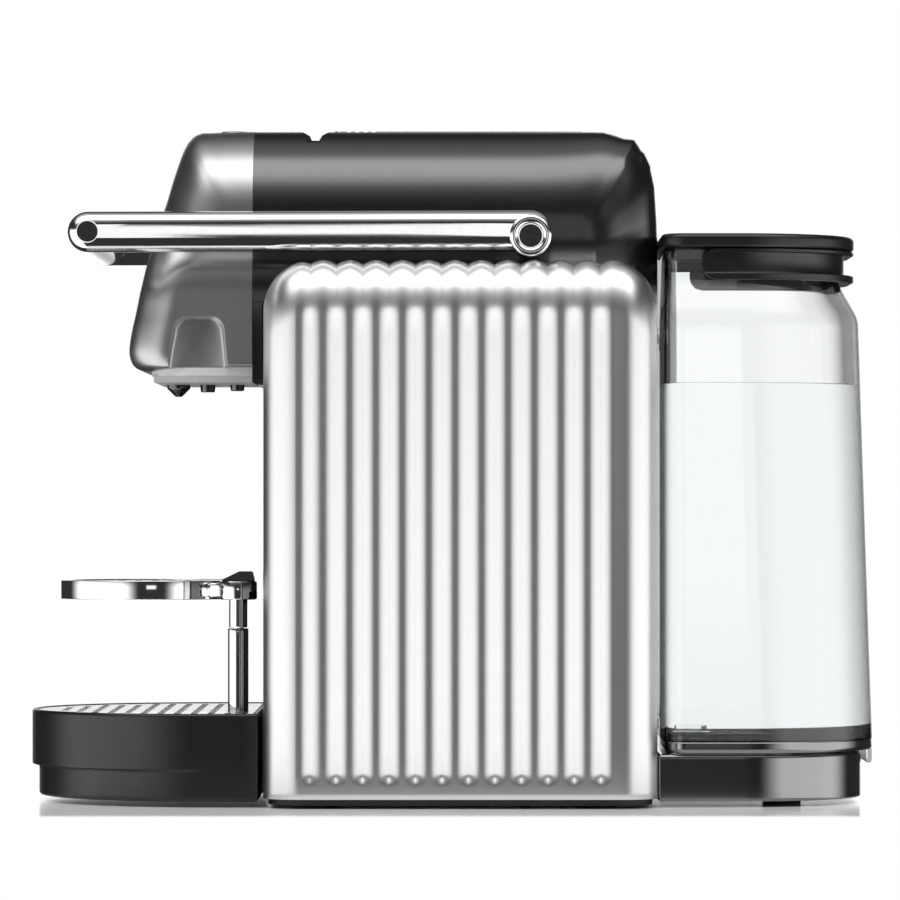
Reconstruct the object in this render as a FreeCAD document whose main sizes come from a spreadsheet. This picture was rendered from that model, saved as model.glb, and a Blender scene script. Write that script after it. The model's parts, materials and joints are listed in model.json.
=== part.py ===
"""Pod coffee machine, an assembly of separate sub-parts.

Frame: millimetres, +Z up, the front faces -Y, +X is the side that carries the cup-support post,
origin at the centre of the bounding box's bottom face.
"""
import FreeCAD, Part
import math
import os

V = FreeCAD.Vector
doc = FreeCAD.newDocument("pod_coffee_machine")
sheet = doc.addObject("Spreadsheet::Sheet", "Dims")

# Driving dimensions, millimetres and degrees.
DIMS = [
    ("wall", 3.0, "general shell wall"),
    ("half_width", 101.0, "outer face of the side panels"),
    ("half_depth", 202.4, "front tip of the tray and rear of the tank"),
    ("panel_inner", 73.0, "inner edge of the side panels"),
    ("panel_front", -88.3, "front of the side panels"),
    ("panel_rear", 97.2, "rear of the side panels"),
    ("panel_low", 4.4, "lower edge of the side panels"),
    ("panel_top", 257.5, "top of the side panels"),
    ("panel_corner", 24.0, "outline corner of the panels"),
    ("panel_roll", 22.0, "rolled outer edge of the panels"),
    ("panel_wall", 3.5, "panel wall"),
    ("rib_first", -53.7, "first valley"),
    ("rib_pitch", 12.38, "valley pitch"),
    ("rib_count", 11, "valleys per panel"),
    ("rib_deep", 2.0, "valley depth"),
    ("head_half", 70.0, "half width of the head"),
    ("head_top", 322.6, "apex of the cover's crown"),
    ("nose_top", 322.0, "apex of the nose's crown"),
    ("crown_side", 318.0, "crown height at the head's side"),
    ("crown_round", 34.0, "upper side rounding of the head"),
    ("head_split", -94.0, "joint between nose and cover"),
    ("head_low", 200.0, "lowest edge of the head"),
    ("pivot_y", 37.6, "lever pivot, depth position"),
    ("pivot_z", 269.0, "lever pivot, height"),
    ("pivot_rad", 5.0, "lever shaft radius"),
    ("run_gap", 0.05, "running clearance on a radius"),
    ("crank_rad", 20.0, "crank throw"),
    ("crank_start", 42.5, "crank angle above the forward direction at rest"),
    ("arm_inner", 74.0, "inner face of a lever arm"),
    ("arm_outer", 83.0, "outer face of a lever arm"),
    ("bar_y", -171.2, "lever bar axis, depth position"),
    ("bar_z", 271.0, "lever bar axis, height"),
    ("bar_rad", 9.6, "lever bar radius"),
    ("boss_rad", 9.9, "pivot ring radius"),
    ("brew_z", 252.0, "brewing axis height"),
    ("cage_rad", 22.0, "capsule cage radius"),
    ("cage_travel", 29.5, "capsule cage travel"),
    ("door_half", 26.0, "half width of the capsule door"),
    ("door_front", -63.6, "front edge of the capsule door"),
    ("door_rear", 64.0, "rear edge of the capsule door"),
    ("door_floor", 316.3, "door channel floor"),
    ("tray_rad", 85.0, "tray front radius"),
    ("tray_top", 44.0, "tray rim height"),
    ("tray_low", 2.6, "tray underside"),
    ("tray_step", 17.5, "height of the plinth step"),
    ("tray_back", -90.5, "back of the wide tray"),
    ("tray_wall", 2.5, "tray wall"),
    ("tongue_half", 46.0, "half width of the tray tongue"),
    ("grid_z", 42.0, "grid underside"),
    ("grid_thick", 1.5, "grid thickness"),
    ("post_x", 38.5, "cup support post"),
    ("post_y", -101.6, "cup support post"),
    ("post_rad", 4.9, "post radius"),
    ("post_split", 83.4, "joint of the two post sections"),
    ("ring_y", -144.0, "cup support ring centre"),
    ("ring_rad", 45.0, "cup support ring radius"),
    ("ring_low", 97.0, "ring underside"),
    ("ring_high", 106.0, "ring top"),
    ("hub_rad", 9.0, "cup support hub radius"),
    ("base_z", 25.0, "tank pedestal top"),
    ("tank_gap", 0.3, "clearance between tank and pedestal"),
    ("tank_wall", 2.5, "tank wall"),
    ("tank_front", 100.8, "tank front wall"),
    ("valve_x", -25.0, "tank valve"),
    ("valve_y", 118.0, "tank valve"),
    ("button_rad", 7.0, "button radius"),
    ("button_y", -104.0, "button row"),
    ("button_pitch", 20.0, "button pitch"),
    ("foot_rad", 8.0, "rubber foot radius"),
    ("screw_rad", 3.5, "screw head radius"),
    ("outlet_y", -131.8, "coffee outlet"),
]
VALUE = {}
for row, (alias, value, note) in enumerate(DIMS, start=1):
    sheet.set("A%d" % row, note)
    sheet.set("B%d" % row, str(value))
    sheet.setAlias("B%d" % row, alias)
    VALUE[alias] = float(value)
doc.recompute()


class Dim:
    """A number with the sheet expression that drives it."""

    def __init__(self, value, text):
        self.value = float(value)
        self.text = text

    def _mix(self, other, sign, left=True):
        ov, ot = (other.value, other.text) if isinstance(other, Dim) else (float(other), "%.6f" % other)
        a, at, b, bt = (self.value, self.text, ov, ot) if left else (ov, ot, self.value, self.text)
        res = {"+": lambda: a + b, "-": lambda: a - b, "*": lambda: a * b, "/": lambda: a / b}[sign]()
        return Dim(res, "(%s %s (%s))" % (at, sign, bt))

    def __add__(self, o): return self._mix(o, "+")
    def __radd__(self, o): return self._mix(o, "+", False)
    def __sub__(self, o): return self._mix(o, "-")
    def __rsub__(self, o): return self._mix(o, "-", False)
    def __mul__(self, o): return self._mix(o, "*")
    def __rmul__(self, o): return self._mix(o, "*", False)
    def __truediv__(self, o): return self._mix(o, "/")
    def __neg__(self): return self._mix(-1.0, "*")


def d(alias):
    return Dim(VALUE[alias], "Dims.%s" % alias)


def num(x):
    return x.value if isinstance(x, Dim) else float(x)


def bind(obj, path, x):
    """Give a property its number and, where the sheet drives it, its expression."""
    if isinstance(x, Dim):
        obj.setExpression(path, x.text)


NODES = []
COUNT = [0]


def fresh(stem):
    COUNT[0] += 1
    return "%s_%03d" % (stem, COUNT[0])


def node(name, obj):
    obj.Label = name
    NODES.append((name, obj))
    return obj


def box(x0, x1, y0, y1, z0, z1):
    o = doc.addObject("Part::Box", fresh("block"))
    for prop, lo, hi in (("Length", x0, x1), ("Width", y0, y1), ("Height", z0, z1)):
        size = hi - lo
        setattr(o, prop, num(size))
        bind(o, prop, size)
    o.Placement = FreeCAD.Placement(V(num(x0), num(y0), num(z0)), FreeCAD.Rotation())
    for ax, lo in (("x", x0), ("y", y0), ("z", z0)):
        bind(o, "Placement.Base." + ax, lo)
    return o


TURN = {"x": FreeCAD.Rotation(V(0, 1, 0), 90), "y": FreeCAD.Rotation(V(1, 0, 0), -90), "z": FreeCAD.Rotation()}


def cyl(axis, at, r, length, r2=None):
    """A cylinder, or a cone when r2 is given, from the point at, along +axis."""
    if r2 is None:
        o = doc.addObject("Part::Cylinder", fresh("round"))
        o.Radius = num(r)
        bind(o, "Radius", r)
    else:
        o = doc.addObject("Part::Cone", fresh("taper"))
        o.Radius1 = num(r)
        bind(o, "Radius1", r)
        o.Radius2 = num(r2)
        bind(o, "Radius2", r2)
    o.Height = num(length)
    bind(o, "Height", length)
    o.Placement = FreeCAD.Placement(V(*[num(c) for c in at]), TURN[axis])
    for ax, c in zip("xyz", at):
        bind(o, "Placement.Base." + ax, c)
    return o


def cut(a, *tools):
    tool = tools[0] if len(tools) == 1 else fuse(*tools)
    o = doc.addObject("Part::Cut", fresh("cut"))
    o.Base = a
    o.Tool = tool
    doc.recompute()
    if not a.Shape.Volume - o.Shape.Volume > 1e-3:
        raise RuntimeError("a cut removed nothing: %s %s" % (o.Name, [t.Name for t in tools]))
    return o


def fuse(*items):
    o = doc.addObject("Part::MultiFuse", fresh("join"))
    o.Shapes = list(items)
    return o


def group(*items):
    """Separate solids of one node."""
    o = doc.addObject("Part::Compound", fresh("set"))
    o.Links = list(items)
    return o


def common(*items):
    o = doc.addObject("Part::MultiCommon", fresh("shared"))
    o.Shapes = list(items)
    doc.recompute()
    return o


def mirror(a):
    o = doc.addObject("Part::Mirroring", fresh("mirror"))
    o.Source = a
    o.Normal = V(1, 0, 0)
    o.Base = V(0, 0, 0)
    return o


PLANE = {"XY": "XY_Plane", "XZ": "XZ_Plane", "YZ": "YZ_Plane"}


def prism(plane, pts, lo, hi, rounds=None, ring=None):
    """A PartDesign body: a closed polygon drawn on one of the body's origin planes and padded from lo to hi.

    rounds maps a polygon corner to the radius of its edge; ring is (radius, level) and rounds every
    edge of the end face at that level, apart from those on the polygon's first side.
    """
    body = doc.addObject("PartDesign::Body", fresh("body"))
    flat = [f for f in body.Origin.OriginFeatures if f.Role == PLANE[plane]][0]
    sk = body.newObject("Sketcher::SketchObject", fresh("outline"))
    sk.AttachmentSupport = [(flat, "")]
    sk.MapMode = "FlatFace"
    start = (0 - hi) if plane == "XZ" else lo
    sk.AttachmentOffset = FreeCAD.Placement(V(0, 0, num(start)), FreeCAD.Rotation())
    bind(sk, "AttachmentOffset.Base.z", start)
    xy = [(num(a), num(b)) for a, b in pts]
    n = len(xy)
    geo = [Part.LineSegment(V(xy[i][0], xy[i][1], 0), V(xy[(i + 1) % n][0], xy[(i + 1) % n][1], 0)) for i in range(n)]
    sk.addGeometry(geo, False)
    import Sketcher
    for i in range(n):
        sk.addConstraint(Sketcher.Constraint("Coincident", i, 2, (i + 1) % n, 1))
    for i, (a, b) in enumerate(pts):
        for kind, x in (("DistanceX", a), ("DistanceY", b)):
            if abs(num(x)) < 1e-9:
                sk.addConstraint(Sketcher.Constraint("PointOnObject", i, 1, -2 if kind == "DistanceX" else -1))
                continue
            k = sk.addConstraint(Sketcher.Constraint(kind, -1, 1, i, 1, num(x)))
            bind(sk, "Constraints[%d]" % k, x)
    pad = body.newObject("PartDesign::Pad", fresh("pad"))
    pad.Profile = sk
    pad.Length = num(hi - lo)
    bind(pad, "Length", hi - lo)
    sk.Visibility = False
    doc.recompute()
    tip = pad
    where = {"XY": (0, 1, 2), "XZ": (0, 2, 1), "YZ": (1, 2, 0)}[plane]

    def edges_at(shape, spots):
        names = []
        for k, e in enumerate(shape.Edges, start=1):
            if len(e.Vertexes) != 2:
                continue
            p, q = e.Vertexes[0].Point, e.Vertexes[1].Point
            if abs(p[where[2]] - q[where[2]]) < 0.5:
                continue
            for u, v in spots:
                if max(abs(p[where[0]] - u), abs(q[where[0]] - u), abs(p[where[1]] - v), abs(q[where[1]] - v)) < 1e-4:
                    names.append("Edge%d" % k)
        return names

    by_radius = {}
    for i, r in (rounds or {}).items():
        key = r.text if isinstance(r, Dim) else r
        by_radius.setdefault(key, (r, []))[1].append(i)
    for r, spots in by_radius.values():
        names = edges_at(tip.Shape, [xy[i] for i in spots])
        if len(names) != len(spots):
            raise RuntimeError("corner edges not found")
        f = body.newObject("PartDesign::Fillet", fresh("fillet"))
        f.Base = (tip, names)
        f.Radius = num(r)
        bind(f, "Radius", r)
        doc.recompute()
        tip = f
    if ring:
        r, level = ring
        names = []
        (u0, v0), (u1, v1) = xy[0], xy[1]
        for k, e in enumerate(tip.Shape.Edges, start=1):
            c = e.CenterOfMass
            vs = [w.Point for w in e.Vertexes]
            if not all(abs(p[where[2]] - num(level)) < 1e-4 for p in vs):
                continue
            on_first = abs((c[where[0]] - u0) * (v1 - v0) - (c[where[1]] - v0) * (u1 - u0)) < 1e-3
            if not on_first:
                names.append("Edge%d" % k)
        f = body.newObject("PartDesign::Fillet", fresh("fillet"))
        f.Base = (tip, names)
        f.Radius = num(r)
        bind(f, "Radius", r)
        doc.recompute()
    return body


def rounded_wire(z, half, y0, y1, rf, rr):
    """Closed plan outline at height z: front corners rf, rear corners rr."""
    def arc(cx, cy, r, a):
        p = [V(cx + r * math.cos(math.radians(t)), cy + r * math.sin(math.radians(t)), z) for t in (a, a + 45, a + 90)]
        return Part.Arc(*p).toShape()
    corners = [(-half + rf, y0 + rf, rf, 180), (half - rf, y0 + rf, rf, 270), (half - rr, y1 - rr, rr, 0), (-half + rr, y1 - rr, rr, 90)]
    arcs = [arc(*c) for c in corners]
    edges = []
    for i, a in enumerate(arcs):
        b = arcs[(i + 1) % 4]
        edges.append(a)
        edges.append(Part.makeLine(a.Vertexes[-1].Point, b.Vertexes[0].Point))
    return Part.Wire(edges)


def lofted(name, levels):
    """A solid through rounded plan outlines at several heights."""
    wires = [rounded_wire(*lv) for lv in levels]
    solids = []
    for a, b in zip(wires, wires[1:]):
        solids.append(Part.makeLoft([a, b], True, True))
    s = solids[0]
    for x in solids[1:]:
        s = s.fuse(x)
    o = doc.addObject("Part::Feature", fresh(name))
    o.Shape = s.removeSplitter() if len(solids) > 1 else s
    o.Placement = FreeCAD.Placement()
    return o


# ---------------------------------------------------------------- base and inner structure
node("base_plate", prism("XY", [(-97.5, -86), (97.5, -86), (97.5, 95), (-97.5, 95)], Dim(1.5, "1.5"), d("panel_low"),
                         rounds={0: 20, 1: 20, 2: 20, 3: 20}))
node("rubber_feet", group(*([cyl("z", (x, y, 0), d("foot_rad"), 1.5) for x in (-72, 72) for y in (-62, 70)]
                            + [cyl("z", (x, 160, 0), d("foot_rad") - 1, 2.6) for x in (-40, 40)])))
col = box(-72.5, 72.5, -86, -83, d("panel_low"), 203.4)
node("front_column", cut(col, box(-48.6, 48.6, -90, -80, 4.0, 100)))
for side, sx in (("right", 1), ("left", -1)):
    x0, x1 = (56, 59) if sx > 0 else (-59, -56)
    node("inner_frame_" + side, box(x0, x1, -82.5, 91.5, d("panel_low"), 199))
shelf = box(-56, 56, 32, 91.5, 112, 115)
node("pump_shelf", cut(shelf, cyl("z", (-25, 62, 110), 4.2, 8)))
rear = box(-72.6, 72.6, 92, 96.8, d("panel_low"), 236)
node("rear_cover", cut(rear, cyl("y", (d("valve_x"), 90, 9), 3.4, 10)))
node("cover_screws", group(*[cut(cyl("y", (x, 96.8, z), d("screw_rad"), 1.5), cyl("y", (x, 97.5, z), 1.3, 2))
                             for x in (-64, 64) for z in (40, 222)]))

# ---------------------------------------------------------------- ribbed side panels
pf, pr, pl, pt = d("panel_front"), d("panel_rear"), d("panel_low"), d("panel_top")
pw = d("panel_wall")
outer = prism("YZ", [(pf, pl), (pr, pl), (pr, pt), (pf, pt)], d("panel_inner"), d("half_width"),
              rounds={2: d("panel_corner"), 3: d("panel_corner")}, ring=(d("panel_roll"), d("half_width")))
inner = prism("YZ", [(pf + 3, pl - 5), (pr - 3, pl - 5), (pr - 3, pt - 3), (pf + 3, pt - 3)],
              d("panel_inner") - 5, d("half_width") - pw,
              rounds={2: d("panel_corner") - 3, 3: d("panel_corner") - 3}, ring=(d("panel_roll") - 3, d("half_width") - pw))
hx = d("half_width")
ribs = []
rib = prism("XY", [(hx + 1, d("rib_first") - 5.6), (hx + 1, d("rib_first") + 5.6), (hx - d("rib_deep"), d("rib_first"))],
            Dim(14, "14"), Dim(246, "246"))
flat_y = [f for f in rib.Origin.OriginFeatures if f.Role == "Y_Axis"][0]
pat = rib.newObject("PartDesign::LinearPattern", fresh("pattern"))
pat.Originals = [rib.Tip]
pat.Direction = (flat_y, [""])
pat.Length = num(d("rib_pitch") * 10)
bind(pat, "Length", d("rib_pitch") * (d("rib_count") - 1))
pat.Occurrences = 11
rib.Tip = pat
doc.recompute()
panel = cut(outer, inner, rib)
node("side_panel_right", panel)
node("side_panel_left", mirror(panel))

# ---------------------------------------------------------------- head shells
hh = d("head_half")


def crown(apex, half, side, rnd, low, y0, y1):
    return prism("XZ", [(-half, low), (half, low), (half, side), (0, apex), (-half, side)], y0, y1, rounds={2: rnd, 4: rnd})


NOSE = [(-94.0, 205.6), (-145.9, 205.6), (-149.2, 206.7), (-152.3, 210.6), (-153.1, 214.5), (-152.6, 220.1), (-149.8, 234.0),
        (-147.0, 247.9), (-143.1, 265.1), (-136.3, 285.8), (-130.3, 306.7), (-125.7, 316.9), (-122.0, 320.9), (-113.6, 323.0), (-94.0, 323.0)]


def inset(pts, w):
    """Convex outline moved inwards by w."""
    out = []
    n = len(pts)
    area = sum(pts[i][0] * pts[(i + 1) % n][1] - pts[(i + 1) % n][0] * pts[i][1] for i in range(n))
    s = 1 if area > 0 else -1
    for i in range(n):
        a, b, c = pts[i - 1], pts[i], pts[(i + 1) % n]
        l1 = math.hypot(b[0] - a[0], b[1] - a[1])
        l2 = math.hypot(c[0] - b[0], c[1] - b[1])
        n1 = (-(b[1] - a[1]) / l1 * s, (b[0] - a[0]) / l1 * s)
        n2 = (-(c[1] - b[1]) / l2 * s, (c[0] - b[0]) / l2 * s)
        k = 1 + n1[0] * n2[0] + n1[1] * n2[1]
        out.append((b[0] + w * (n1[0] + n2[0]) / k, b[1] + w * (n1[1] + n2[1]) / k))
    return out


ns = d("head_split")
nose_out = common(prism("YZ", NOSE, -hh, hh),
                  crown(d("nose_top"), hh, d("crown_side") - 0.6, d("crown_round"), 190, Dim(-160, "-160"), ns),
                  prism("XY", [(-hh, -153.4), (hh, -153.4), (hh, -90), (-hh, -90)], Dim(190, "190"), Dim(330, "330"),
                        rounds={0: 26, 1: 26}))
cav = inset(NOSE, 3.0)
cav = [(-90.0, 200.0), (-143.0, 200.0)] + cav[3:-1] + [(-90.0, cav[-2][1])]
nose_in = common(prism("YZ", cav, 3 - hh, hh - 3),
                 crown(d("nose_top") - 3, hh - 3, d("crown_side") - 3.6, d("crown_round") - 3, 190, Dim(-160, "-160"), Dim(-80, "-80")),
                 prism("XY", [(3 - hh, -150.4), (hh - 3, -150.4), (hh - 3, -85), (3 - hh, -85)], Dim(190, "190"), Dim(330, "330"),
                       rounds={0: 23, 1: 23}))
br, bp = d("button_rad"), d("button_pitch")
holes = [cyl("z", (bp * k, d("button_y"), 300), br + 0.4, 40) for k in (-1, 0, 1)]
arch = prism("YZ", [(-131.5, 200), (-107.0, 200), (-108.5, 231.5), (-129.0, 231.5)], hh - 1.6, hh + 2, rounds={2: 4.5, 3: 4.5})
node("nose_shell", cut(nose_out, nose_in, arch, mirror(arch), *holes))

COVER = [(-94.0, 200), (-89.0, 200), (-89.0, 238), (98.8, 238), (98.8, 270), (98.4, 279.2), (97.4, 295.5), (95.6, 304.1),
         (92.7, 310.5), (88.9, 315.4), (88.9, 319.0), (82.8, 319.0), (72.9, 323.4), (-94.0, 323.4)]
cover_out = common(prism("YZ", COVER, -hh, hh),
                   crown(d("head_top"), hh, d("crown_side"), d("crown_round"), 190, ns, Dim(110, "110")),
                   prism("XY", [(-hh, -100), (hh, -100), (hh, 98.8), (-hh, 98.8)], Dim(190, "190"), Dim(330, "330"),
                         rounds={2: 30, 3: 30}))
cover_in = common(prism("YZ", [(-91, 238.5), (-89, 238.5), (-89, 230), (95.8, 230), (95.4, 279.2), (94.0, 295.5), (89.0, 306.0), (82.0, 313.5), (-91, 313.5)],
                        3 - hh, hh - 3),
                  crown(d("head_top") - 3, hh - 3, d("crown_side") - 3, d("crown_round") - 3, 190, Dim(-100, "-100"), Dim(100, "100")),
                  prism("XY", [(3 - hh, -100), (hh - 3, -100), (hh - 3, 95.8), (3 - hh, 95.8)], Dim(190, "190"), Dim(330, "330"),
                        rounds={2: 27, 3: 27}))
dh, df = d("door_half"), d("door_floor")
notch = prism("YZ", [(-65.4, 316.2), (-63.2, 316.2), (-61.6, 319.0), (-55.0, 323.6), (-74.0, 323.6), (-67.3, 318.6)], Dim(-75, "-75"), Dim(75, "75"))
channel = box(-dh - 0.4, dh + 0.4, d("door_front") - 0.4, 110, df, 330)
window = box(-20.5, 20.5, -60, -28, 305, 330)
shaft_hole = cyl("x", (-80, d("pivot_y"), d("pivot_z")), d("pivot_rad") + 0.5, 160)
duct_hole = cyl("y", (0, -96, 245), 5.0, 8)
node("top_cover", cut(cover_out, cover_in, notch, channel, window, shaft_hole, duct_hole))
door = common(crown(d("head_top"), hh, d("crown_side"), d("crown_round"), 190, d("door_front"), d("door_rear")),
              box(-dh, dh, d("door_front"), d("door_rear"), df + 0.3, 330))
node("capsule_door", cut(door, notch, *[box(-14, 14, -52 + 4 * k, -50.6 + 4 * k, 321.4, 330) for k in range(3)]))

# ---------------------------------------------------------------- outlets
flange = prism("XY", [(-67, -142.4), (67, -142.4), (67, -94.1), (-67, -94.1)], Dim(203.4, "203.4"), Dim(207.6, "207.6"),
               rounds={0: 20, 1: 20})
plate = cut(fuse(flange, box(-58, 58, -141, -94.3, 200.4, 203.4)),
            cyl("z", (0, d("outlet_y"), 199), 3.0, 10))
node("outlet_plate", plate)
node("coffee_outlet", cut(fuse(cyl("z", (0, d("outlet_y"), 194.6), 1.8, 4.0, 5.7), cyl("z", (0, d("outlet_y"), 198.6), 5.7, 1.8)),
                          cyl("z", (0, d("outlet_y"), 194), 1.2, 8)))
node("hot_water_outlet", cut(cyl("z", (0, -117.7, 196.8), 3.4, 3.6, 3.8), cyl("z", (0, -117.7, 196), 1.4, 6)))
node("steam_outlet", cut(cyl("z", (0, -103.4, 197.4), 3.2, 3.0, 3.6), cyl("z", (0, -103.4, 197), 1.2, 5)))

# ---------------------------------------------------------------- brewing unit
py, pz = d("pivot_y"), d("pivot_z")
for side, (x0, x1) in (("right", (38, 41)), ("left", (-41, -38))):
    pl8 = box(x0, x1, -84, 88, 206, 300)
    node("brew_plate_" + side, cut(pl8, cyl("x", (x0 - 1, py, pz), d("pivot_rad") + d("run_gap"), 5),
                                   box(x0 - 1, x1 + 1, 55, 90, 206 - 1, 232)))
node("brew_front_bracket", cut(box(-41, 41, -89, -84, 222, 296), cyl("y", (0, -92, 245), 4.6, 10)))
node("extraction_plate", cut(cyl("y", (0, -84, d("brew_z")), 20, 2.2), *[cyl("y", (x, -85, z), 1.2, 5)
                                                                        for x in (-8, 0, 8) for z in (244, 252, 260)]))
cz, cr = d("brew_z"), d("cage_rad")
drum = cyl("y", (0, -81.2, cz), cr, 37.2)
cavity = cyl("y", (0, -82, cz), 16.5, 31, 14.5)
carrier = [box(x0, x1, -56, 52, 240, 300) for x0, x1 in ((26, 29), (-29, -26))]
slot_y = py - d("crank_rad") * math.cos(math.radians(42.5))
carrier = [cut(c, box(-35, 35, 1.5, 44.4, 262.6, 275.4), box(-35, 35, slot_y - 4.3, slot_y + 4.3, 278.6, 293.4)) for c in carrier]
node("capsule_cage", cut(fuse(drum, box(-26.2, 26.2, -56, -44.2, 240, 264), *carrier), cavity))
node("pivot_shaft", cyl("x", (-d("arm_inner"), py, pz), d("pivot_rad"), d("arm_inner") * 2))
ca = math.radians(VALUE["crank_start"])
cy_, cz_ = -VALUE["crank_rad"] * math.cos(ca), VALUE["crank_rad"] * math.sin(ca)
cranks = []
for x0, xp in ((30.5, 25.5), (-34.5, -34.5)):
    arm = prism("YZ", [(-6.5, -7.5), (7.5, -6.5), (cy_ + 6, cz_ + 4), (cy_ - 4.5, cz_ + 4.5), (cy_ - 6, cz_ - 5)], Dim(0, "0"), Dim(4, "4"),
                rounds={0: 2, 1: 2, 2: 2, 3: 2, 4: 2})
    arm.Placement = FreeCAD.Placement(V(x0, num(py), num(pz)), FreeCAD.Rotation())
    bind(arm, "Placement.Base.y", py)
    bind(arm, "Placement.Base.z", pz)
    pin = cyl("x", (xp, py + cy_, pz + cz_), 3.0, 9.0)
    cranks.append(cut(fuse(arm, pin), cyl("x", (x0 - 1, py, pz), d("pivot_rad"), 6)))
node("crank_arms", group(*cranks))
chute = cut(box(-33, 33, -81, -39, 104, 226), box(-31, 31, -79, -41, 100, 230))
node("capsule_chute", chute)
node("coffee_duct", fuse(cyl("y", (0, d("outlet_y"), 245), 3.6, 46.8), cyl("z", (0, d("outlet_y"), 207.6), 3.6, 37.4)))

# ---------------------------------------------------------------- pump, heater, electrics
node("pump", fuse(cyl("z", (-25, 62, 14), 22, 62), cyl("z", (-25, 62, 76), 15, 20), cyl("z", (-25, 62, 96), 5, 8)))
node("pump_mounts", group(box(-45, -33, 50, 74, d("panel_low"), 14), box(-17, -5, 50, 74, d("panel_low"), 14)))
node("flow_meter", fuse(box(-34, -16, 78, 91.5, d("panel_low"), 13.6), cyl("x", (-40, 84.5, 9), 3.5, 7)))
elbow = cut(fuse(cyl("y", (d("valve_x"), 91.5, 9), 3, 26.5), cyl("z", (d("valve_x"), d("valve_y"), 4.8), 4.2, 7.4)),
            cyl("z", (d("valve_x"), d("valve_y"), 7), 1.5, 7))
node("suction_hose", group(elbow, cyl("y", (d("valve_x"), 62, 9), 3, 16)))
node("pressure_hose", fuse(cyl("z", (-25, 62, 104), 3, 24), cyl("x", (-28, 62, 128), 3, 23.9)))
node("thermoblock", fuse(cyl("z", (24, 60, 115), 28, 80), cyl("z", (24, 60, 195), 9, 6), *[cyl("z", (24, 60, 121 + 12 * k), 29.5, 4) for k in range(6)]))
board = fuse(box(-56, -53.2, -20, 26, 122, 196), box(-53.4, -42, -14, 2, 128, 146), box(-53.4, -40, 6, 22, 150, 170),
             cyl("x", (-53.4, -6, 180), 6, 16), box(-53.4, -46, -16, 14, 152 - 4, 149.5))
node("control_board", board)

# ---------------------------------------------------------------- lever
ai, ao, brd = d("arm_inner"), d("arm_outer"), d("bar_rad")
by, bz = d("bar_y"), d("bar_z")
for side in ("right", "left"):
    if side == "right":
        body = prism("YZ", [(by, bz - brd + 0.1), (20, 262.4), (py, 262.4), (py, 281.4), (20, 281.4), (by, bz + brd - 0.1)], ai, ao)
        arm_r = cut(fuse(body, cyl("x", (ai, by, bz), brd, ao - ai), cyl("x", (ai, py, pz + 2.6), 9.6, ao - ai),
                         cyl("x", (ai, py, pz), d("boss_rad"), ao - ai)),
                    cyl("x", (ao - 1.2, by, bz), 5.4, 4), cyl("x", (ao - 1.5, py, pz), 5.9, 4))
        node("lever_arm_right", arm_r)
    else:
        node("lever_arm_left", mirror(arm_r))
node("lever_bar", cyl("x", (-ai, by, bz), brd, ai * 2))
ring_r = cut(cyl("x", (ao, py, pz), d("boss_rad"), 1.2), cyl("x", (ao - 1, py, pz), 5.9, 4))
node("pivot_rings", group(ring_r, mirror(ring_r)))
screws = []
for yy, zz, x0, rr in ((by, bz, ao - 1.2, 4.9), (py, pz, ao - 1.5, 5.4)):
    s = cut(cyl("x", (x0, yy, zz), rr, 0.8), cyl("x", (x0 + 0.2, yy, zz), 2.2, 2))
    screws += [s, mirror(s)]
node("lever_screws", group(*screws))

# ---------------------------------------------------------------- push buttons on the nose
cut_crown = crown(d("nose_top"), hh, d("crown_side") - 0.6, d("crown_round"), 190, Dim(-120, "-120"), Dim(-90, "-90"))
for k, name in ((-1, "button_left"), (0, "button_middle"), (1, "button_right")):
    x = bp * k
    cap = common(cyl("z", (x, d("button_y"), 314), br, 12), cut_crown)
    node(name, fuse(cap, cyl("z", (x, d("button_y"), 313.2), br + 1.4, 1.6), cyl("z", (x, d("button_y"), 309.8), 2.2, 4)))
node("button_board", fuse(box(-34, 34, -114, ns, 304, 306), *[cyl("z", (bp * k, d("button_y"), 305.5), 3, 2.5) for k in (-1, 0, 1)]))

# ---------------------------------------------------------------- drip tray, grid, used-capsule container
tr, tt, tl, tb, tw = d("tray_rad"), d("tray_top"), d("tray_low"), d("tray_back"), d("tray_wall")
cyc = d("tray_rad") - d("half_depth")


def bowl(r, z0, z1, back):
    round_part = cyl("z", (0, cyc, z0), r, z1 - z0)
    return common(fuse(round_part, box(-r, r, cyc, back + 5, z0, z1)), box(-200, 200, -300, back, num(z0) - 1, num(z1) + 1))


# below the step the front is set back 3.4 mm and runs out to nothing at the sides
low_back = fuse(cyl("z", (0, cyc + 3.4, tl), tr, d("tray_step") - tl), box(-100, 100, cyc + 3.4, -60, 0, 30))
solid = fuse(bowl(tr, d("tray_step"), tt, tb), common(bowl(tr, tl, d("tray_step"), tb), low_back))
hollow = fuse(bowl(tr - tw, d("tray_step") - 0.01, tt + 5, tb - tw), bowl(tr - 3.4 - tw, tl + tw, d("tray_step") + 1, tb - tw))
tongue = box(-d("tongue_half"), d("tongue_half"), tb - 0.5, 27, 5.2, 7.6)
foot = cut(cyl("z", (d("post_x"), d("post_y"), tl + 1), 8.2, 6), cyl("z", (d("post_x"), d("post_y"), tl + 2.8), d("post_rad"), 8))
node("drip_tray", fuse(cut(solid, hollow), tongue, foot))
px_, py_ = d("post_x"), d("post_y")
node("post_lower", cut(cyl("z", (px_, py_, tl + 2.8), d("post_rad"), d("post_split") - tl - 2.8), cyl("z", (px_, py_, 60), 2.56, 30)))
cont = cut(box(-44, 44, -85.6, 25, 7.6, 95), box(-42.2, 42.2, -83.8, 23.2, 9.6, 97))
node("capsule_container", cont)
gr = bowl(tr - tw - 0.5, d("grid_z"), d("grid_z") + d("grid_thick"), tb - tw - 0.5)
slots = []
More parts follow.
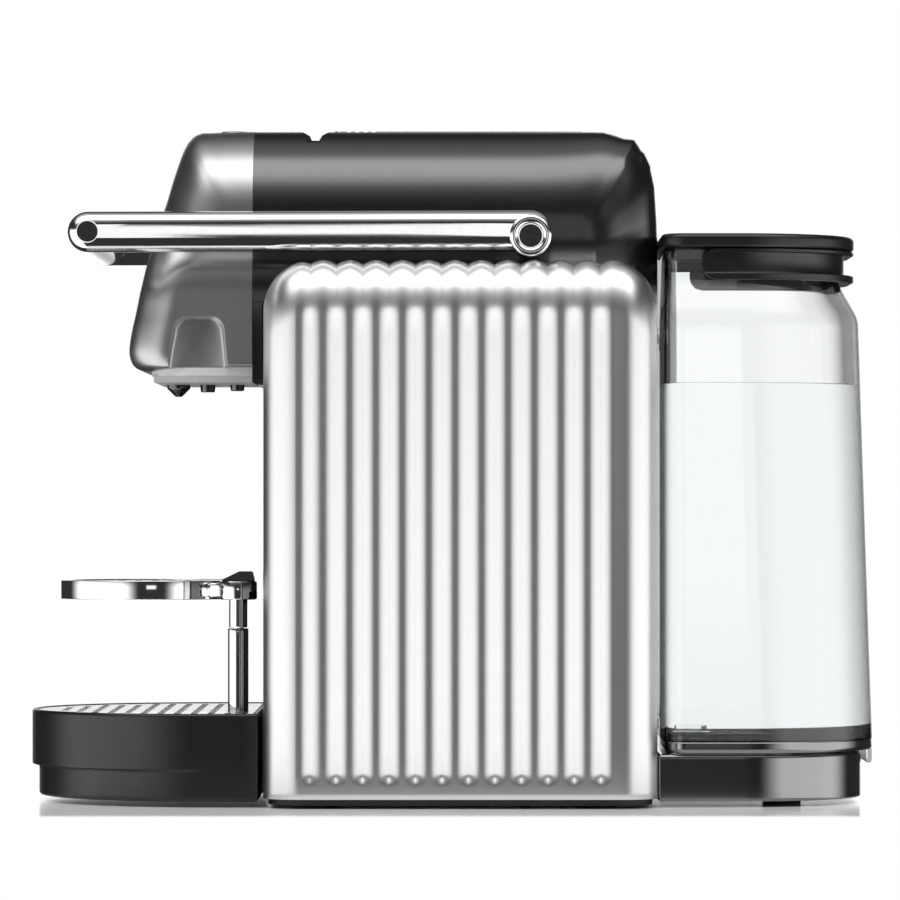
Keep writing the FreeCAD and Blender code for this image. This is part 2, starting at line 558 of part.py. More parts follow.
for row in range(9):
    y = -190 + 9.6 * row
    w = math.sqrt(max(0.0, (VALUE["tray_rad"] - 8) ** 2 - (y + 117.4) ** 2))
    n = int((w - 4) // 17)
    for k in range(-n, n + 1):
        if abs(k * 17 - 38.5) < 17 and abs(y + 101.6) < 10:
            continue
        slots.append(box(17 * k - 6.5, 17 * k + 6.5, y - 1.6, y + 1.6, 40, 46))
node("drip_grid", cut(gr, cyl("z", (px_, py_, 40), d("post_rad") + 0.7, 8), *slots))

# ---------------------------------------------------------------- cup support
rl, rh = d("ring_low"), d("ring_high")
ry, rrad = d("ring_y"), d("ring_rad")
node("post_upper", fuse(cyl("z", (px_, py_, d("post_split") + 0.3), d("post_rad") - 0.5, rh + 1.5 - d("post_split") - 0.3),
                        cyl("z", (px_, py_, 62), 2.5, d("post_split") - 60)))
ring = cut(cyl("z", (0, ry, rl), rrad, rh - rl), cyl("z", (0, ry, rl - 1), rrad - 4.5, rh - rl + 2))
link = math.hypot(VALUE["post_x"], VALUE["post_y"] - VALUE["ring_y"])
ang = math.degrees(math.atan2(VALUE["post_y"] - VALUE["ring_y"], VALUE["post_x"]))
neck = doc.addObject("Part::Box", fresh("block"))
neck.Length, neck.Width, neck.Height = link - 42.0, 11.0, 7.0
neck.Placement = FreeCAD.Placement(V(0, VALUE["ring_y"], 98.0), FreeCAD.Rotation(V(0, 0, 1), ang)).multiply(FreeCAD.Placement(V(42.0, -5.5, 0), FreeCAD.Rotation()))
hub = cyl("z", (px_, py_, rl), d("hub_rad"), rh - rl)
node("cup_support_ring", cut(fuse(ring, neck, hub), cyl("z", (px_, py_, rl - 1), d("post_rad") - 0.5, 12)))
cross = [cyl("z", (0, ry, 103.2), rrad - 4.5, 2.2)]
cuts = [box(-30, 30, VALUE["ring_y"] + 8 * k - 1.8, VALUE["ring_y"] + 8 * k + 1.8, 100, 108) for k in (-2, -1, 0, 1, 2)]
node("cup_support_plate", cut(cross[0], *cuts))
old = prism("YZ", [(-109.5, 106.0), (-93.5, 106.0), (-94.5, 110.6), (-101.0, 110.6)], Dim(33, "33"), Dim(44, "44"))
cap_hole = cyl("z", (px_, py_, 100), d("post_rad") - 0.5, 8)
node("cup_support_tab", cut(old, cap_hole))

# ---------------------------------------------------------------- pedestal, water tank, lid and valve
vx, vy = d("valve_x"), d("valve_y")
ped_out = prism("XY", [(-82, 97.6), (82, 97.6), (82, 196.7), (-82, 196.7)], Dim(2.6, "2.6"), d("base_z"), rounds={2: 58, 3: 58})
ped_in = prism("XY", [(-79.5, 100.1), (79.5, 100.1), (79.5, 194.2), (-79.5, 194.2)], Dim(0, "0"), d("base_z") - 2.5, rounds={2: 55.5, 3: 55.5})
boss = cyl("z", (vx, vy, 12.2), 11.0, 11.5)
ped = cut(fuse(cut(ped_out, ped_in), boss, box(-60, 60, 96.8, 98.4, 5, 24)),
          cyl("z", (vx, vy, 14.4), 8.6, 20), cyl("y", (vx, 90, 9), 3.4, 16), cyl("y", (0, 190, 10), 5.2, 10),
          box(-90, -75, 111.5, 132.5, 6.5, 20.5))
node("tank_pedestal", fuse(ped, cyl("z", (vx, vy, 13), 1.5, 7.2)))
node("tank_seat_seal", cut(cyl("z", (vx, vy, 15.5), 8.6, 4.7), cyl("z", (vx, vy, 15), 6.5, 8)))
node("cord_gland", cut(fuse(cyl("y", (0, 190.5, 10), 5.1, 7.2), cyl("y", (0, 192.0, 10), 6.4, 2.2)),
                       cyl("y", (0, 186, 10), 3.4, 16)))
sw = cut(box(-83, -72, 111.6, 132.4, 6.6, 20.4), box(-90, -73.6, 113.4, 130.6, 8.4, 18.6))
sw = cut(sw, cyl("z", (-78.2, 122, 6), 1.3, 16))
node("switch_housing", sw)
node("power_rocker", fuse(prism("XY", [(-84.2, 114.6), (-84.2, 129.4), (-77.2, 129.4), (-77.2, 114.6)], Dim(8.8, "8.8"), Dim(18.2, "18.2")),
                          cyl("z", (-78.2, 122, 7.0), 1.25, 13)))

tg = VALUE["base_z"] + VALUE["tank_gap"]
w = VALUE["tank_wall"]
tf = VALUE["tank_front"]
rear_y = VALUE["half_depth"]
tank_out = lofted("tank_outer", [(tg, 84.0, tf, rear_y, 10, 62), (231.6, 80.5, tf, 195.7, 10, 60), (248.5, 72.0, tf + 0.4, 186.0, 8, 52), (263.4, 71.5, tf + 0.6, 185.6, 8, 52)])
tank_in = lofted("tank_inner", [(tg + w, 84 - w, tf + w, rear_y - w, 8, 59.5), (231.0, 80.5 - w, tf + w, 195.7 - w, 8, 57.5),
                                (248.5, 72 - w, tf + w, 186 - w, 6, 49.5), (265.0, 71.5 - w, tf + w, 185.6 - w, 6, 49.5)])
tank = cut(fuse(tank_out, box(-22, 22, 199.6, rear_y, 18.4, tg + 1.5)), tank_in, cyl("z", (vx, vy, 20), 8.0, 12))
node("water_tank", tank)
g_out = lofted("grip_outer", [(248.8, 75.0, 96, 193.6, 8, 56), (252.0, 75.0, 96, 193.6, 8, 56)])
g_mid = lofted("grip_middle", [(252.0, 74.0, 96, 189.0, 8, 54), (261.6, 74.0, 96, 189.0, 8, 54)])
g_top = lofted("grip_upper", [(261.6, 75.0, 96, 193.6, 8, 56), (263.5, 75.0, 96, 193.6, 8, 56)])
g_hole = lofted("grip_hole", [(240.0, 72.05, 80, 186.05, 8, 52), (270.0, 72.05, 80, 186.05, 8, 52)])
node("tank_grip", cut(common(fuse(g_out, g_mid, g_top), box(-100, 100, 118.6, 300, 240, 270)), g_hole))
lid_top = lofted("lid_plate", [(263.9, 77.0, 99.4, 193.8, 12, 58), (270.5, 77.0, 99.4, 193.8, 12, 58)])
lid_plug = lofted("lid_plug", [(257.5, 68.3, 104.2, 182.4, 5, 48.5), (264.4, 68.3, 104.2, 182.4, 5, 48.5)])
lid_void = lofted("lid_void", [(250.0, 66.0, 106.5, 180.1, 4, 46.5), (262.9, 66.0, 106.5, 180.1, 4, 46.5)])
node("tank_lid", cut(fuse(lid_top, lid_plug), lid_void))
node("tank_valve_body", cut(fuse(cyl("z", (vx, vy, tg), 8.0, 6), cyl("z", (vx, vy, 20.6), 6.0, 5)), cyl("z", (vx, vy, 18), 3.3, 20)))
node("tank_valve_poppet", fuse(cyl("z", (vx, vy, 20.9), 3.0, 11), cyl("z", (vx, vy, tg + 6.3), 6.0, 3)))

# ---------------------------------------------------------------- check and write
doc.recompute()
bad = [o.Name for o in doc.Objects if "Invalid" in o.State or "Error" in o.State]
if bad:
    raise RuntimeError("failed objects: %s" % bad)
for name, obj in NODES:
    s = obj.Shape
    if s.isNull() or not s.isValid() or s.Volume <= 0 or not s.Solids:
        raise RuntimeError("bad sub-part: %s" % name)
os.makedirs("parts", exist_ok=True)
for name, obj in NODES:
    obj.Shape.exportStep("parts/%s.step" % name)
print(len(NODES), "sub-parts")
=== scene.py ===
import bpy, bmesh, json, math
from mathutils import Vector, Matrix


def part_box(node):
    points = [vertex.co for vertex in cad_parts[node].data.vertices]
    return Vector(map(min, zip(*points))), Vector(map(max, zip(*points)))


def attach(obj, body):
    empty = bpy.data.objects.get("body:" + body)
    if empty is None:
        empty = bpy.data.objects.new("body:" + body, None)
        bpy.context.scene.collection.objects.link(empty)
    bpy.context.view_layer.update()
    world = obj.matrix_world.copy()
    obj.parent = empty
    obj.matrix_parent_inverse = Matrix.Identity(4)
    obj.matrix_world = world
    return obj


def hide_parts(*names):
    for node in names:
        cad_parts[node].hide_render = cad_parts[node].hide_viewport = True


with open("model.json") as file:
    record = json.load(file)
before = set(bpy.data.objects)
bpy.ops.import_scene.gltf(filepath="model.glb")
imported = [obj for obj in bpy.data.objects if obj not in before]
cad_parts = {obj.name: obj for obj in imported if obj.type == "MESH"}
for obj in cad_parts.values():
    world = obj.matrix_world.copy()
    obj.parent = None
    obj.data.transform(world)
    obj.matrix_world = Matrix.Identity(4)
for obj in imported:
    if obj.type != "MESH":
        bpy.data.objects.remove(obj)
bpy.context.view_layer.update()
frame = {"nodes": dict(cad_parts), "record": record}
scene = bpy.context.scene
MM = 0.001
PI = math.pi


def S(t):
    t = min(1.0, max(0.0, t))
    return t * t * (3 - 2 * t)


def lerp(a, b, t):
    return a + (b - a) * t


def table(xs, x):
    """Piecewise linear table [(x, y), ...]."""
    if x <= xs[0][0]:
        return xs[0][1]
    for (x0, y0), (x1, y1) in zip(xs, xs[1:]):
        if x <= x1:
            return y0 + (y1 - y0) * (x - x0) / (x1 - x0) if x1 > x0 else y1
    return xs[-1][1]


# ------------------------------------------------------------------ camera
cam = bpy.data.objects.new("camera", bpy.data.cameras.new("camera"))
scene.collection.objects.link(cam)
cam.location = (2.85, -0.0004, 0.141)
cam.rotation_euler = (math.radians(90.56), 0, math.radians(90))
cam.data.sensor_width = 36
cam.data.lens = 235.3
cam.data.clip_start = 0.05
cam.data.clip_end = 60
scene.camera = cam
scene.view_settings.view_transform = "Standard"
scene.view_settings.look = "None"


# ------------------------------------------------------------------ materials
def principled(name, color, rough, metallic=0.0, **extra):
    m = bpy.data.materials.new(name)
    m.use_nodes = True
    nt = m.node_tree
    b = nt.nodes["Principled BSDF"]
    b.inputs["Base Color"].default_value = (*color, 1)
    b.inputs["Roughness"].default_value = rough
    b.inputs["Metallic"].default_value = metallic
    for k, v in extra.items():
        b.inputs[k.replace("_", " ")].default_value = v
    return m, nt, b


def grain(nt, b, scale, strength, dist=0.0002, stretch=(1, 1, 1), detail=3.0, rough=None, color=None, seed=0.0):
    """Moulded or brushed grain: noise drives a fine bump, and optionally the roughness and the colour."""
    tc = nt.nodes.new("ShaderNodeTexCoord")
    mp = nt.nodes.new("ShaderNodeMapping")
    mp.inputs["Scale"].default_value = stretch
    mp.inputs["Location"].default_value = (seed, seed * 0.7, seed * 0.3)
    nt.links.new(tc.outputs["Object"], mp.inputs["Vector"])
    n = nt.nodes.new("ShaderNodeTexNoise")
    n.inputs["Scale"].default_value = scale
    n.inputs["Detail"].default_value = detail
    nt.links.new(mp.outputs["Vector"], n.inputs["Vector"])
    if strength > 0:
        bp = nt.nodes.new("ShaderNodeBump")
        bp.inputs["Strength"].default_value = strength
        bp.inputs["Distance"].default_value = dist
        nt.links.new(n.outputs["Fac"], bp.inputs["Height"])
        nt.links.new(bp.outputs["Normal"], b.inputs["Normal"])
    wide = nt.nodes.new("ShaderNodeTexNoise")
    wide.inputs["Scale"].default_value = scale * 0.06
    wide.inputs["Detail"].default_value = 4.0
    nt.links.new(mp.outputs["Vector"], wide.inputs["Vector"])
    if rough:
        r = nt.nodes.new("ShaderNodeMapRange")
        r.inputs["From Min"].default_value = 0.3
        r.inputs["From Max"].default_value = 0.7
        r.inputs["To Min"].default_value = rough[0]
        r.inputs["To Max"].default_value = rough[1]
        nt.links.new(wide.outputs["Fac"], r.inputs["Value"])
        nt.links.new(r.outputs["Result"], b.inputs["Roughness"])
    if color:
        c = nt.nodes.new("ShaderNodeValToRGB")
        c.color_ramp.elements[0].position = 0.3
        c.color_ramp.elements[1].position = 0.7
        c.color_ramp.elements[0].color = (*color[0], 1)
        c.color_ramp.elements[1].color = (*color[1], 1)
        nt.links.new(n.outputs["Fac"], c.inputs["Fac"])
        nt.links.new(c.outputs["Color"], b.inputs["Base Color"])


def g3(v):
    return (v, v, v * 1.01)


MAT = {}
m, nt, b = principled("silver_panel", g3(0.55), 0.31, 1.0)
grain(nt, b, 2600, 0.012, 0.00002, rough=(0.305, 0.315), color=(g3(0.615), g3(0.625)))
MAT["silver_panel"] = m
m, nt, b = principled("silver_nose", g3(0.39), 0.31, 1.0)
grain(nt, b, 2600, 0.012, 0.00002, rough=(0.32, 0.34), color=(g3(0.415), g3(0.425)), seed=3)
MAT["silver_nose"] = m
m, nt, b = principled("black_satin", g3(0.004), 0.24, 0.0, Specular_IOR_Level=0.9, Coat_Weight=0.35, Coat_Roughness=0.2, Coat_IOR=1.8)
grain(nt, b, 1800, 0.02, 0.00003, rough=(0.23, 0.25), color=(g3(0.0035), g3(0.0045)), seed=5)
MAT["black_satin"] = m
m, nt, b = principled("black_tray", g3(0.005), 0.34, 0.0, Specular_IOR_Level=0.5)
grain(nt, b, 1500, 0.05, 0.00004, rough=(0.32, 0.36), color=(g3(0.004), g3(0.006)), seed=6)
MAT["black_tray"] = m
m, nt, b = principled("black_matte", g3(0.010), 0.48, 0.0)
grain(nt, b, 1100, 0.2, 0.00008, rough=(0.45, 0.52), color=(g3(0.009), g3(0.012)), seed=7)
MAT["black_matte"] = m
m, nt, b = principled("black_gloss", g3(0.005), 0.16, 0.0, Specular_IOR_Level=1.0, Coat_Weight=1.0, Coat_Roughness=0.1, Coat_IOR=2.2)
grain(nt, b, 500, 0.01, 0.00003, rough=(0.15, 0.17), seed=9)
MAT["black_gloss"] = m
m, nt, b = principled("chrome", g3(0.82), 0.07, 1.0)
grain(nt, b, 300, 0.015, 0.00005, rough=(0.05, 0.09), color=(g3(0.80), g3(0.84)), seed=11)
MAT["chrome"] = m
m, nt, b = principled("steel", g3(0.55), 0.3, 1.0)
grain(nt, b, 700, 0.15, 0.00006, stretch=(0.05, 1, 1), rough=(0.26, 0.36), color=(g3(0.5), g3(0.58)), seed=13)
MAT["steel"] = m
m, nt, b = principled("steel_dark", g3(0.1), 0.32, 1.0)
grain(nt, b, 900, 0.1, 0.00006, rough=(0.28, 0.36), color=(g3(0.08), g3(0.12)), seed=15)
MAT["steel_dark"] = m
m, nt, b = principled("grid_steel", g3(0.62), 0.26, 1.0)
grain(nt, b, 800, 0.12, 0.00005, stretch=(1, 0.04, 1), rough=(0.22, 0.32), color=(g3(0.56), g3(0.64)), seed=17)
MAT["grid_steel"] = m
m, nt, b = principled("aluminium", g3(0.6), 0.45, 1.0)
grain(nt, b, 500, 0.35, 0.0002, rough=(0.4, 0.5), color=(g3(0.55), g3(0.65)), seed=19)
MAT["aluminium"] = m
m, nt, b = principled("rubber", g3(0.018), 0.75)
grain(nt, b, 700, 0.3, 0.0001, rough=(0.7, 0.85), seed=21)
MAT["rubber"] = m
m, nt, b = principled("inner_plastic", g3(0.11), 0.5)
grain(nt, b, 900, 0.2, 0.0001, rough=(0.45, 0.55), color=(g3(0.1), g3(0.125)), seed=23)
MAT["inner_plastic"] = m
m, nt, b = principled("white_plastic", g3(0.6), 0.35)
grain(nt, b, 900, 0.1, 0.00006, rough=(0.3, 0.4), color=(g3(0.58), g3(0.63)), seed=25)
MAT["white_plastic"] = m
m, nt, b = principled("hose", (0.62, 0.61, 0.57), 0.4, Transmission_Weight=0.3)
grain(nt, b, 500, 0.1, 0.0001, rough=(0.35, 0.45), seed=27)
MAT["hose"] = m
m, nt, b = principled("board", (0.02, 0.12, 0.045), 0.4)
grain(nt, b, 900, 0.2, 0.0001, rough=(0.35, 0.5), color=((0.015, 0.10, 0.035), (0.03, 0.15, 0.06)), seed=29)
MAT["board"] = m
m, nt, b = principled("button_grey", g3(0.28), 0.32, 1.0)
grain(nt, b, 1200, 0.08, 0.00005, rough=(0.28, 0.36), color=(g3(0.25), g3(0.30)), seed=31)
MAT["button_grey"] = m
m, nt, b = principled("clear_plastic", (0.97, 0.98, 0.98), 0.02, Transmission_Weight=1.0, IOR=1.45)
grain(nt, b, 60, 0.01, 0.00005, rough=(0.01, 0.03), seed=33)
MAT["clear_plastic"] = m
m, nt, b = principled("water", (0.97, 0.98, 0.985), 0.0, IOR=1.33, Transmission_Weight=1.0)
grain(nt, b, 20, 0.01, 0.0001, rough=(0.0, 0.02), seed=35)
MAT["water"] = m

m, nt, b = principled("valve_clear", (0.97, 0.98, 0.98), 0.08, Transmission_Weight=1.0, IOR=1.4)
grain(nt, b, 200, 0.01, 0.00005, rough=(0.06, 0.1), seed=37)
MAT["valve_clear"] = m

# Painted shade on the tank and the water: a dark transparent colour is mixed in towards the grazing edges. It stands in
# for the dark surroundings seen through the edges.
for key in ("clear_plastic", "water"):
    m = MAT[key]
    nt = m.node_tree
    b = nt.nodes["Principled BSDF"]
    lw = nt.nodes.new("ShaderNodeLayerWeight")
    lw.inputs["Blend"].default_value = 0.5
    painted_shade_amount = nt.nodes.new("ShaderNodeMapRange")
    painted_shade_amount.interpolation_type = "SMOOTHSTEP"
    painted_shade_amount.inputs["From Min"].default_value = 0.28 if key == "clear_plastic" else 0.16
    painted_shade_amount.inputs["From Max"].default_value = 0.98 if key == "clear_plastic" else 0.8
    painted_shade_amount.inputs["To Min"].default_value = 0.0
    painted_shade_amount.inputs["To Max"].default_value = 0.6 if key == "clear_plastic" else 0.85
    nt.links.new(lw.outputs["Facing"], painted_shade_amount.inputs["Value"])
    # painted edge shade: the dark colour that darkens the grazing edges of the tank and the water
    painted_edge_shade = nt.nodes.new("ShaderNodeBsdfTransparent")
    painted_edge_shade.inputs["Color"].default_value = (0.05, 0.055, 0.06, 1)
    mx = nt.nodes.new("ShaderNodeMixShader")
    nt.links.new(painted_shade_amount.outputs[0], mx.inputs["Fac"])
    nt.links.new(b.outputs[0], mx.inputs[1])
    nt.links.new(painted_edge_shade.outputs[0], mx.inputs[2])
    nt.links.new(mx.outputs[0], [n for n in nt.nodes if n.type == "OUTPUT_MATERIAL"][0].inputs["Surface"])

SLOT = {s["node"]: s["material_slot"] for s in frame["record"]["subparts"]}
BODY = {n: bname for bname, ns in frame["record"]["behaviour"]["bodies"].items() for n in ns}
for name, ob in frame["nodes"].items():
    mat = MAT[SLOT[name]]
    if not ob.material_slots:
        ob.data.materials.append(mat)
    for s in ob.material_slots:
        s.material = mat


for node in ("tank_valve_body", "tank_valve_poppet"):
    for s in frame["nodes"][node].material_slots:
        s.material = MAT["valve_clear"]

# ------------------------------------------------------------------ mesh helpers (millimetres in, metres out)
def make(name, verts, faces, slot, body, replaces=(), angle=32, mat=None, weld=0.004):
    me = bpy.data.meshes.new(name)
    me.from_pydata([(v[0] * MM, v[1] * MM, v[2] * MM) for v in verts], [], faces)
    bm = bmesh.new()
    bm.from_mesh(me)
    bmesh.ops.remove_doubles(bm, verts=bm.verts, dist=weld * MM)
    bmesh.ops.dissolve_degenerate(bm, dist=1e-6, edges=bm.edges)
    bmesh.ops.recalc_face_normals(bm, faces=bm.faces)
    bm.to_mesh(me)
    bm.free()
    ob = bpy.data.objects.new(name, me)
    scene.collection.objects.link(ob)
    me.materials.append(mat or MAT[slot])
    shade(ob, angle)
    if body:
        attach(ob, body)
    if replaces:
        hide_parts(*replaces)
    return ob


def shade(ob, angle):
    ob.data.polygons.foreach_set("use_smooth", [True] * len(ob.data.polygons))
    ob.data.set_sharp_from_angle(angle=math.radians(angle))


def ring_faces(base_a, base_b, n, closed=True):
    return [(base_a + i, base_a + (i + 1) % n, base_b + (i + 1) % n, base_b + i) for i in range(n if closed else n - 1)]


def loft(rings, cap0=True, cap1=True, loop=False):
    """Rings of equal length into faces. loop joins the last ring to the first."""
    n = len(rings[0])
    verts = [p for r in rings for p in r]
    faces = []
    for k in range(len(rings) - 1):
        faces += ring_faces(k * n, (k + 1) * n, n)
    if loop:
        faces += ring_faces((len(rings) - 1) * n, 0, n)
    else:
        if cap0:
            faces.append(tuple(range(n))[::-1])
        if cap1:
            faces.append(tuple((len(rings) - 1) * n + i for i in range(n)))
    return verts, faces


def plan_loft(plan, profile, axis="z", **kw):
    """plan(inset) gives points (a, b); profile is [(inset, height)]; the height runs along the axis."""
    put = {"z": lambda a, b, h: (a, b, h), "x": lambda a, b, h: (h, a, b)}[axis]
    return loft([[put(a, b, h) for a, b in plan(i)] for i, h in profile], **kw)


def arc_pts(cx, cy, r, a0, a1, n):
    return [(cx + r * math.cos(math.radians(lerp(a0, a1, k / n))), cy + r * math.sin(math.radians(lerp(a0, a1, k / n)))) for k in range(n + 1)]


def rrect(half, y0, y1, rf, rr, n=14):
    def plan(i):
        h, a, c = half - i, y0 + i, y1 - i
        f, r = max(rf - i, 0.4), max(rr - i, 0.4)
        return (arc_pts(h - f, a + f, f, -90, 0, n) + arc_pts(h - r, c - r, r, 0, 90, n)
                + arc_pts(-h + r, c - r, r, 90, 180, n) + arc_pts(-h + f, a + f, f, 180, 270, n))
    return plan


def circle(cx, cy, r, n=64):
    return lambda i: [(cx + (r - i) * math.cos(2 * PI * k / n), cy + (r - i) * math.sin(2 * PI * k / n)) for k in range(n)]


def corner(i0, h0, r, sx, sh, n=5, start=0):
    """A quarter round of a profile from (i0, h0): sx, sh say which way it turns."""
    pts = []
    for k in range(n + 1):
        t = k / n * PI / 2
        if start == 0:
            pts.append((i0 + sx * r * (1 - math.cos(t)), h0 + sh * r * math.sin(t)))
        else:
            pts.append((i0 + sx * r * math.sin(t), h0 + sh * r * (1 - math.cos(t))))
    return pts


def boolean(ob, cutter_vf, name="cutter"):
    v, f = cutter_vf
    me = bpy.data.meshes.new(name)
    me.from_pydata([(a * MM, c * MM, e * MM) for a, c, e in v], [], f)
    bm = bmesh.new()
    bm.from_mesh(me)
    bmesh.ops.recalc_face_normals(bm, faces=bm.faces)
    bm.to_mesh(me)
    bm.free()
    co = bpy.data.objects.new(name, me)
    scene.collection.objects.link(co)
    md = ob.modifiers.new("cut", "BOOLEAN")
    md.operation = "DIFFERENCE"
    md.solver = "EXACT"
    md.object = co
    dg = bpy.context.evaluated_depsgraph_get()
    new = bpy.data.meshes.new_from_object(ob.evaluated_get(dg))
    ob.modifiers.clear()
    old = ob.data
    ob.data = new
    bpy.data.meshes.remove(old)
    bpy.data.objects.remove(co)
    return ob


def prism_x(pts, x0, x1):
    n = len(pts)
    v = [(x0, y, z) for y, z in pts] + [(x1, y, z) for y, z in pts]
    f = [tuple(range(n))[::-1], tuple(range(n, 2 * n))] + [(i, (i + 1) % n, n + (i + 1) % n, n + i) for i in range(n)]
    return v, f


def block(x0, x1, y0, y1, z0, z1):
    return prism_x([(y0, z0), (y1, z0), (y1, z1), (y0, z1)], x0, x1)


def tube_z(cx, cy, r, z0, z1, n=48):
    return plan_loft(circle(cx, cy, r, n), [(0, z0), (0, z1)])


def mirror_x(vf):
    v, f = vf
    return [(-a, c, e) for a, c, e in v], [tuple(reversed(q)) for q in f]


# ------------------------------------------------------------------ ribbed side panels
PF, PR, PL, PT, HX = -88.3, 97.2, 4.4, 257.5, 101.0
PITCH, FIRST = 12.38, -53.7
VALLEYS = [(FIRST - PITCH, 1.7)] + [(FIRST + PITCH * k, 2.0) for k in range(11)]


def rib(y):
    """Depth of the rib relief at y: wide convex crests, narrow valleys."""
    out = 0.0
    for v, dp in VALLEYS:
        t = abs(y - v) / (PITCH / 2)
        if t < 1:
            out = max(out, dp * (1 - t) ** 1.7)
    return out


def panel_vf():
    RF, RR, RT, XE = 19.7, 16.5, 26.0, 83.0
    ys = []
    for k in range(15):
        v = PF + RF * (1 - math.cos(math.radians(90 * k / 14)))
        if v < FIRST - 1.5 * PITCH:
            ys.append(v)
    y = ys[-1]
    frac = [0.0, 0.012, 0.04, 0.09, 0.15, 0.22, 0.3, 0.38, 0.46, 0.54, 0.62, 0.7, 0.78, 0.85, 0.91, 0.96, 0.988]
    for c in range(-2, 12):
        for t in frac:
            yy = FIRST + PITCH * (c + t) if c < 11 else 1e9
            if yy > ys[-1] + 0.05 and yy < FIRST + 10.55 * PITCH:
                ys.append(yy)
    for k in range(17):
        v = PR - RR * (1 - math.cos(math.radians(90 * (1 - k / 16))))
        if v > ys[-1] + 0.1:
            ys.append(v)
    rows = []
    zs = [PL] + [PL + t for t in (0.35, 1.2, 2.5)] + [8 + k * 0.9 for k in range(15)] + [21 + 9.0 * k for k in range(23)]
    for yv in ys:
        df, dr = yv - PF, PR - yv
        if df < RF:
            q = math.sqrt(max(0, 1 - (1 - df / RF) ** 2))
        elif dr < RR:
            q = math.sqrt(max(0, 1 - (1 - dr / RR) ** 2))
        else:
            q = 1.0
        xm = XE + (HX - XE) * q
        dcor = min(df, dr)
        ztop = PT - 24 + math.sqrt(max(0, 24 ** 2 - (24 - min(24, dcor)) ** 2))
        dp = rib(yv)
        edge = 1.0
        col = []
        zr = ztop - RT
        for z in zs:
            zz = PL + (z - PL) * (zr - PL) / (219.0 - PL)
            fade = S((zz - 10.5) / 6.0)
            tuck = 0.9 * (1 - S((zz - PL) / 1.6))
            col.append((xm - dp * fade * edge - tuck, yv, zz))
        a = xm - XE
        for k in range(1, 19):
            ph = math.radians(90 * k / 18)
            nx, nz = math.cos(ph), math.sin(ph)
            col.append((XE + a * nx - dp * nx * (a / 22), yv, zr + RT * nz - dp * nz))
        top = col[-1][2]
        col.append((76.0, yv, top))
        col.append((73.2, yv, top - 0.3))
        rows.append(col)
    # front and rear returns towards the centre
    first = [(73.2, PF, z) for x, y, z in rows[0]]
    last = [(73.2, PR, z) for x, y, z in rows[-1]]
    rows = [first] + rows + [last]
    n = len(rows[0])
    verts = [p for r in rows for p in r]
    faces = []
    for i in range(len(rows) - 1):
        for j in range(n - 1):
            faces.append((i * n + j, (i + 1) * n + j, (i + 1) * n + j + 1, i * n + j + 1))
    # inner skin: pulled in towards the inside of the panel
    off = len(verts)
    cy, czm = (PF + PR) / 2, PL
    for (x, y, z) in list(verts):
        xi = min(x, 97.6) - 2.6 if x > 76 else 73.2
        yi = PF + 2.6 if y < PF + 2.6 else (PR - 2.6 if y > PR - 2.6 else y)
        zi = min(z, PT - 2.6 - 0.0) if x > 90 else z - 2.6 if z > PL + 5 else z
        verts.append((min(xi, x), yi, max(PL, min(zi, z))))
    nf = len(faces)
    faces += [tuple(off + i for i in reversed(f)) for f in faces[:nf]]
    R = len(rows)
    border = [i * n for i in range(R)] + [(R - 1) * n + j for j in range(1, n)] + [i * n + n - 1 for i in range(R - 2, -1, -1)] + [j for j in range(n - 2, 0, -1)]
    m_ = len(border)
    for k in range(m_):
        a_, b_ = border[k], border[(k + 1) % m_]
        faces.append((a_, off + a_, off + b_, b_))
    return verts, faces


pv = panel_vf()
make("panel_skin_right", *pv, "silver_panel", "chassis", ["side_panel_right"], angle=40)
make("panel_skin_left", *mirror_x(pv), "silver_panel", "chassis", ["side_panel_left"], angle=40)

# ------------------------------------------------------------------ head: nose and cover as rounded extrusions
HW = 70.0
N_PHI = 12


def smooth_path(pts, per=4, closed=False):
    """Catmull-Rom through the points."""
    out = []
    n = len(pts)
    for i in range(n - 1):
        p0, p1, p2, p3 = pts[max(i - 1, 0)], pts[i], pts[i + 1], pts[min(i + 2, n - 1)]
        for k in range(per):
            t = k / per
            out.append(tuple(0.5 * ((2 * p1[c]) + (-p0[c] + p2[c]) * t + (2 * p0[c] - 5 * p1[c] + 4 * p2[c] - p3[c]) * t * t
                                    + (-p0[c] + 3 * p1[c] - 3 * p2[c] + p3[c]) * t ** 3) for c in range(2)))
    out.append(pts[-1])
    return out


def crown_drop(x):
    x = abs(x)
    return 0.0011 * x * x if x < 38 else 0.0011 * 38 * 38 + 0.0836 * (x - 38) * 0.4


def waist(z):
    """How far the sides of the head are drawn in at height z: the head is narrower from the lever up."""
    return table([(243, 0.0), (246, 0.13), (250, 0.72), (254, 1.8), (258, 3.3), (261, 4.7), (263, 5.4), (265, 5.8), (268, 6.0)], z)


def waisted(verts):
    return [(x * (HW - waist(z)) / HW, y, z) for x, y, z in verts]


def pillow_rows(path, inset, thin=0.0, crown=1.0):
    """Columns of the rounded extrusion: for each path point the points across X."""
    cols = []
    for (y, z) in path:
        iy, iz, top, dx = inset(y, z)
        dx = max(2.0, dx - thin)
        hw = HW - thin
        col = []
        flat = hw - dx
        xs = []
        for k in range(N_PHI + 1):
            ph = math.radians(90 * k / N_PHI)
            xs.append((flat + dx * math.sin(ph), 1 - math.cos(ph)))
        seq = [(-x, w) for x, w in reversed(xs)] + [(-flat * (1 - 2 * k / 8), 0.0) for k in range(1, 8)] + xs
        for x, w in seq:
            col.append((x, y + iy * w, z + iz * w - crown * crown_drop(x) * top * (1 - w)))
        cols.append(col)
    return cols


